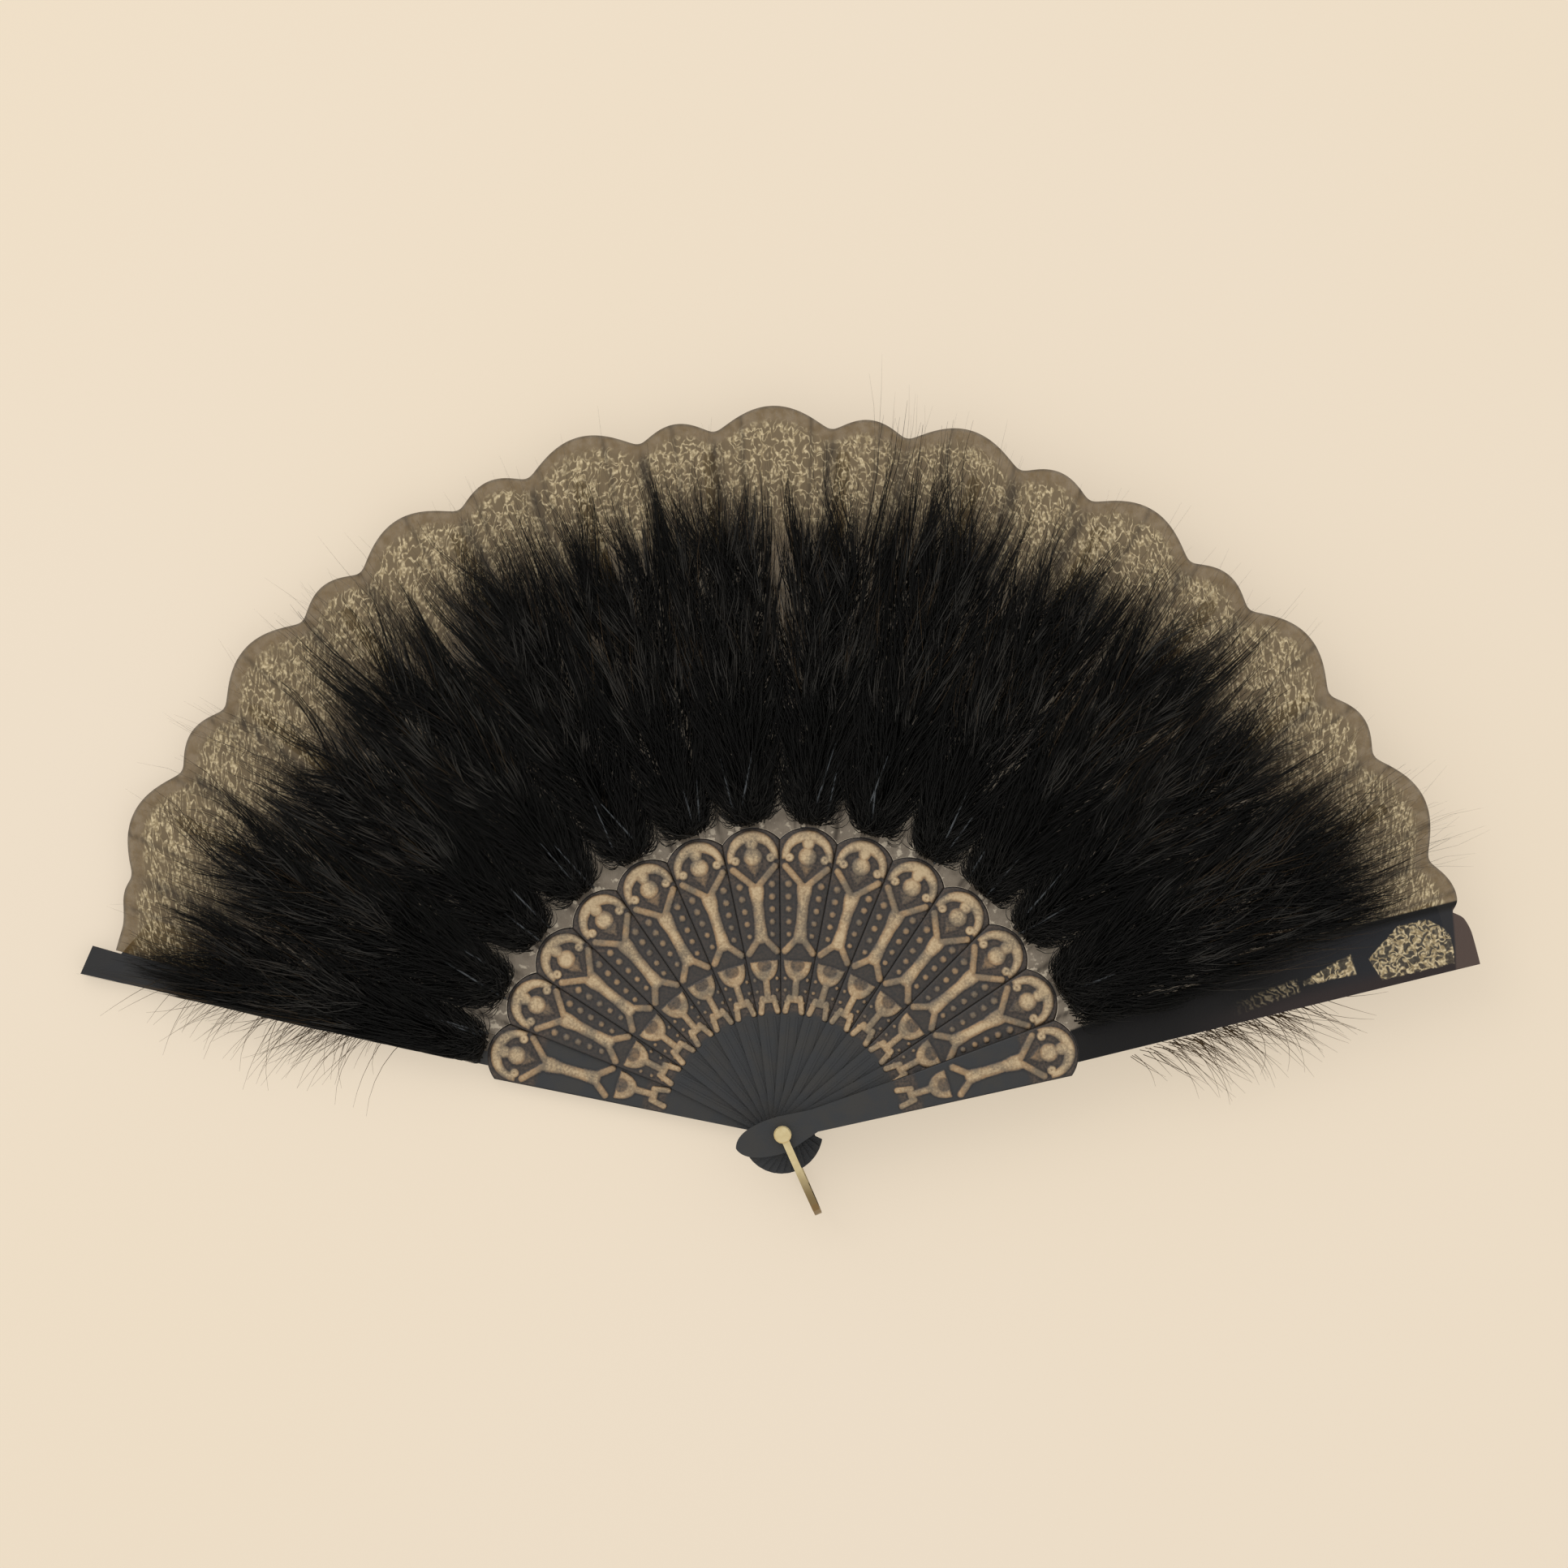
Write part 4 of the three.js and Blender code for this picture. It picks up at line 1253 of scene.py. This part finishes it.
def groove_shade(rise):
    """How much painted shade each plain place of a gorge gets, as in a groove: most right beside
    ornament.
    """
    raised = (rise > SINK).astype(float)
    near = raised
    shifts = range(-GROOVE_CELLS, GROOVE_CELLS + 1)
    for axis in (0, 1):
        near = sum(np.roll(near, shift, axis) for shift in shifts) / len(shifts)
    return np.minimum(2 * near, 1) * (1 - raised)


def dust(y, beside):
    """How much gold dust lies on the plain parts of the gorge: less beside the columns, so that this
    band stays dark as painted shade.
    """
    low, high = SHADE_BAND_REACH
    inside = smooth((y - low) / HOLLOW_SOFT) * smooth((high - y) / HOLLOW_SOFT)
    return between(GORGE_DUST, beside, inside) * smooth((y - GORGE_START) / STRAP)


# Sticks

def line_through(start, end):
    """A line as its x at y = 0 and its slope."""
    slope = (end[0] - start[0]) / (end[1] - start[1])
    return start[0] - slope * start[1], slope


def gorge_sides(index):
    """The two side lines of a stick's gorge."""
    if 0 < index < FRONT:
        slope = math.tan(PITCH / 2)
        return (-HEAD_LAP, -slope), (HEAD_LAP, slope)
    half = sector_half(HEAD_CORNER)
    outer = line_through((NECK_OUTER, GUARD_NECK), (half, HEAD_CORNER))
    inner = line_through((SHANK_INNER, GORGE_START), (half, HEAD_CORNER))
    left, right = (inner, outer) if index == FRONT else (outer, inner)
    return (-left[0], -left[1]), right


def gorge_places(index):
    """A grid over a stick's gorge: rows from its foot to the round head."""
    (left, left_slope), (right, right_slope) = gorge_sides(index)
    columns = round(2 * sector_half(HEAD_CORNER) / GORGE_CELL)
    rows = round((HEAD_TOP - GORGE_START) / GORGE_CELL)
    share = np.linspace(0, 1, columns)
    offset, slope = between(left, right, share), between(left_slope, right_slope, share)
    radius, centre = head_arc()
    square, linear = 1 + slope**2, offset * slope - centre
    rest = offset**2 + centre**2 - radius**2
    top = (np.sqrt(linear**2 - square * rest) - linear) / square
    y = GORGE_START + (top - GORGE_START) * np.linspace(0, 1, rows)[:, None]
    x = offset + slope * y
    beside = np.minimum(x - left - left_slope * y, right + right_slope * y - x)
    below = radius - np.hypot(x, y - centre)
    return x, y, np.maximum(np.minimum(beside, np.where(y > centre, below, beside)), 0)


def closed_grid(x, y, z, floor_z):
    """A closed solid under a grid of heights, with upright walls and a flat base."""
    rows, columns = x.shape
    top = np.stack([x, y, z], axis=-1).reshape(-1, 3)
    first = np.arange(columns)
    right = np.arange(1, rows) * columns + columns - 1
    last = (rows - 1) * columns + np.arange(columns - 1)[::-1]
    left = np.arange(1, rows - 1)[::-1] * columns
    rim = np.concatenate([first, right, last, left])
    base = top[rim].copy()
    base[:, 2] = floor_z
    start = len(top)
    faces = grid_faces(rows, columns).tolist()
    count = len(rim)
    for number in range(count):
        after = (number + 1) % count
        faces.append([int(rim[after]), int(rim[number]), start + number, start + after])
    faces.append([start + number for number in range(count)][::-1])
    return np.concatenate([top, base]), faces


def plate(outline, bottom, top, hole=()):
    """A flat plate of an outline, through which a hole may go."""
    loops = [list(outline)] + ([list(hole)] if len(hole) else [])
    flat = [point for loop in loops for point in loop]
    fill = tessellate_polygon([[Vector((x, y, 0)) for x, y in loop] for loop in loops])
    count = len(flat)
    points = [(x, y, bottom) for x, y in flat] + [(x, y, top) for x, y in flat]
    faces = []
    for face in fill:
        a, b, c = (Vector(flat[corner]) for corner in face)
        upward = (b - a).cross(c - a) > 0
        up = face if upward else face[::-1]
        faces.append([corner + count for corner in up])
        faces.append(list(up[::-1]))
    start = 0
    for loop in loops:
        size = len(loop)
        for number in range(size):
            here, after = start + number, start + (number + 1) % size
            faces.append([here, after, after + count, here + count])
        start += size
    return np.array(points, float), faces


def arc(centre_y, radius, start, end, count):
    angles = np.linspace(start, end, count)
    return [(radius * math.cos(a), centre_y + radius * math.sin(a)) for a in angles]


def pivot_hole():
    return arc(0, PIVOT_HOLE, 2 * math.pi, 2 * math.pi / HOLE_SIDES, HOLE_SIDES)


def rib_shank():
    """A rib's round tail and its shank, up into the gorge."""
    tail = math.asin(RIB_TAIL_HALF / RIB_TAIL)
    left, right = gorge_sides(1)
    top = GORGE_START + OVERLAP
    ends = [(right[0] + right[1] * top - SINK, top), (left[0] + left[1] * top + SINK, top)]
    around = arc(0, RIB_TAIL, -math.pi / 2 - tail, -math.pi / 2 + tail, HOLE_SIDES // 2)
    return around + [(SHANK_HALF, 0)] + ends + [(-SHANK_HALF, 0)]


def bow_curve(start, control, end, count):
    points = []
    for share in np.linspace(0, 1, count):
        first = np.array(start) * (1 - share) ** 2
        second = 2 * np.array(control) * share * (1 - share)
        points.append(tuple(first + second + np.array(end) * share**2))
    return points


def guard_shank(index):
    """A guard's almond tail, its neck and its shank. Its outer side is at +x in front."""
    tail, half = GUARD_TAILS[index == FRONT], GUARD_TAIL_HALF
    full = TAIL_FULL_SHARE * tail
    right = bow_curve((0, -tail), (half, -full), (half, 0), HOLE_SIDES // 2)
    left = bow_curve((-half, 0), (-half, -full), (0, -tail), HOLE_SIDES // 2)
    top = GORGE_START + OVERLAP
    left_top, right_top = ((offset + slope * top, top) for offset, slope in gorge_sides(index))
    necks = (NECK_INNER, NECK_OUTER) if index == FRONT else (NECK_OUTER, NECK_INNER)
    shank = [(necks[1], GUARD_NECK), right_top, left_top, (-necks[0], GUARD_NECK)]
    return right + shank + left[:-1]


def polar(radius, angle):
    return -radius * math.sin(angle), radius * math.cos(angle)


def blade_outline(index):
    """The slender part of a stick that the leaf is glued to."""
    root = HEAD_CORNER - BLADE_ROOT_HALF
    inner = GUARD_INNER_SHARE * PANEL_HALF
    if index == FRONT:
        ends = [(root, -GUARD_OUTER), (FRONT_BLADE_END, -GUARD_OUTER), (FRONT_BLADE_END, inner)]
        return [polar(*end) for end in ends] + [polar(root, inner)]
    if index == 0:
        tongue = [(-TONGUE_INNER, TONGUE_START), (-TONGUE_INNER, REACH - TONGUE_SLANT)]
        ends = [polar(root, -inner), polar(REAR_SHOULDER, -inner)] + tongue
        return ends + [polar(REACH, GUARD_OUTER), polar(root, GUARD_OUTER)]
    half = [(BLADE_ROOT_HALF, root), (BLADE_TIP_HALF, BLADE_END - BLADE_TIP_HALF)]
    half.append((BLADE_TIP_HALF / 2, BLADE_END))
    return half + [(-x, y) for x, y in reversed(half)]


def ridge(side):
    x = side * RIDGE_OFFSET
    low, high = RIDGE_START, GORGE_START - RIDGE_WIDTH
    half = RIDGE_WIDTH / 2
    return [(x - half, low), (x + half, low), (x + half, high), (x - half, high)]


def ornament(x, y, guard):
    """The height of a gorge's ornament as a share of its relief, and how much gold is on it."""
    parts = [(crown(x, y), CROWN_GILT), (arms(x, y), ARM_GILT), (stalk(x, y), STALK_GILT)]
    parts.append((pedestal(x, y), PEDESTAL_GILT))
    if not guard:
        parts.append((beads(x, y, TIER, HEAD_TOP, **BEADS), BEAD_GILT))
        parts.append((beads(x, y, GORGE_START, TIER, **LOW_BEADS), BEAD_GILT))
    rise = np.maximum.reduce([part for part, _ in parts])
    return rise, np.maximum.reduce([part * gilding for part, gilding in parts])


def stick(index, plastic):
    """A whole stick: tail and shank, gorge with its ornament, and blade."""
    guard = index in (0, FRONT)
    thickness = GUARD_THICKNESS if guard else RIB_THICKNESS
    face = thickness - RELIEF
    x, y, edge = gorge_places(index)
    rise, gilt = ornament(x, y, guard)
    dusty = dust(y, 0 if guard else SHADE_BAND_DUST)
    rim = 1 - np.clip(edge / EDGE_ROUND, 0, 1)
    rim[0] = 0
    height = face + RELIEF * rise - EDGE_DROP * rim**2 * (rise < SINK)
    shank = guard_shank(index) if guard else rib_shank()
    solids = [closed_grid(x, y, height, 0), plate(shank, SINK, face - SINK, pivot_hole())]
    solids.append(plate(blade_outline(index), SINK, thickness - LEAF_ROOM))
    if not guard:
        for side in (-1, 1):
            solids.append(plate(ridge(side), face - RIDGE_HEIGHT, face + RIDGE_HEIGHT))
    points, faces = joined(solids)
    name, level = f"{BODIES[index]}_stick", leaf_top(index) - thickness
    piece = on_stick(name, index, level, points, faces, plastic)
    piece.data.set_sharp_from_angle(angle=SHARP_ANGLE)
    beyond = np.hypot(points[x.size :, 0], points[x.size :, 1]) > HEAD_TOP
    plain = np.zeros(beyond.size)
    # Painted shade along the gorge's edges and in the plain grooves beside the ornament.
    shaded = np.maximum(rim, GROOVE_SHADE_SHARE * groove_shade(rise))
    store(piece, "gilt", np.concatenate([np.maximum(gilt, dusty).ravel(), plain]))
    store(piece, "rim", np.concatenate([shaded.ravel(), BLADE_DARK_SHARE * beyond]))
    store(piece, "gorge", np.concatenate([dusty.ravel() / GORGE_DUST, plain]))
    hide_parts(BODIES[index])


# Stage

def camera():
    data = bpy.data.cameras.new("camera")
    data.lens = LENS
    data.sensor_width = SENSOR
    data.clip_end = VIEW_END * MM
    eye = linked("camera", data)
    x, y, z = FRAME_CENTRE
    distance = FRAME_WIDTH * LENS / SENSOR
    eye.location = (x * MM, y * MM, (z + distance) * MM)
    eye.rotation_euler = (0, 0, FRAME_ROLL)
    bpy.context.scene.camera = eye


def floor():
    half = FLOOR_HALF
    corners = np.array([[-half, -half, 0], [half, -half, 0], [half, half, 0], [-half, half, 0]])
    piece = made("floor", corners, [[0, 1, 2, 3]], floor_paper())
    piece.location.z = -FLOOR_DROP * MM


def key_light():
    data = bpy.data.lights.new("key", "AREA")
    data.energy = KEY_POWER
    data.size = KEY_SIZE * MM
    light = linked("key", data)
    place = Vector(KEY_PLACE)
    light.location = place * MM
    light.rotation_euler = (Vector(KEY_AIM) - place).to_track_quat("-Z", "Y").to_euler()


def sky():
    world = bpy.data.worlds.new("world")
    world.use_nodes = True
    white = world.node_tree.nodes["Background"]
    white.inputs["Color"].default_value = (1, 1, 1, 1)
    white.inputs["Strength"].default_value = SKY_STRENGTH
    bpy.context.scene.world = world


def coat(node, material):
    """Gives a piece of the frame its material."""
    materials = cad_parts[node].data.materials
    materials.clear()
    materials.append(material)


def main():
    bpy.context.scene.view_settings.view_transform = "Standard"
    camera()
    floor()
    sky()
    key_light()
    wire = brass()
    for name in ("bail", "front_rivet_head", "rear_rivet_head", "rivet_pin"):
        coat(name, wire)
    plastic = stick_plastic()
    for index in range(FRONT + 1):
        stick(index, plastic)
    cloth = leaf_cloth()
    for index in range(1, FRONT + 1):
        leaf_span(index, cloth)
    leaf_front(cloth)
    down, horn = feather_down(), quill_horn()
    for index in range(FRONT):
        plume(index, down)
        quills(index, horn)
    front_wisps(down)


main()
bpy.context.view_layer.update()
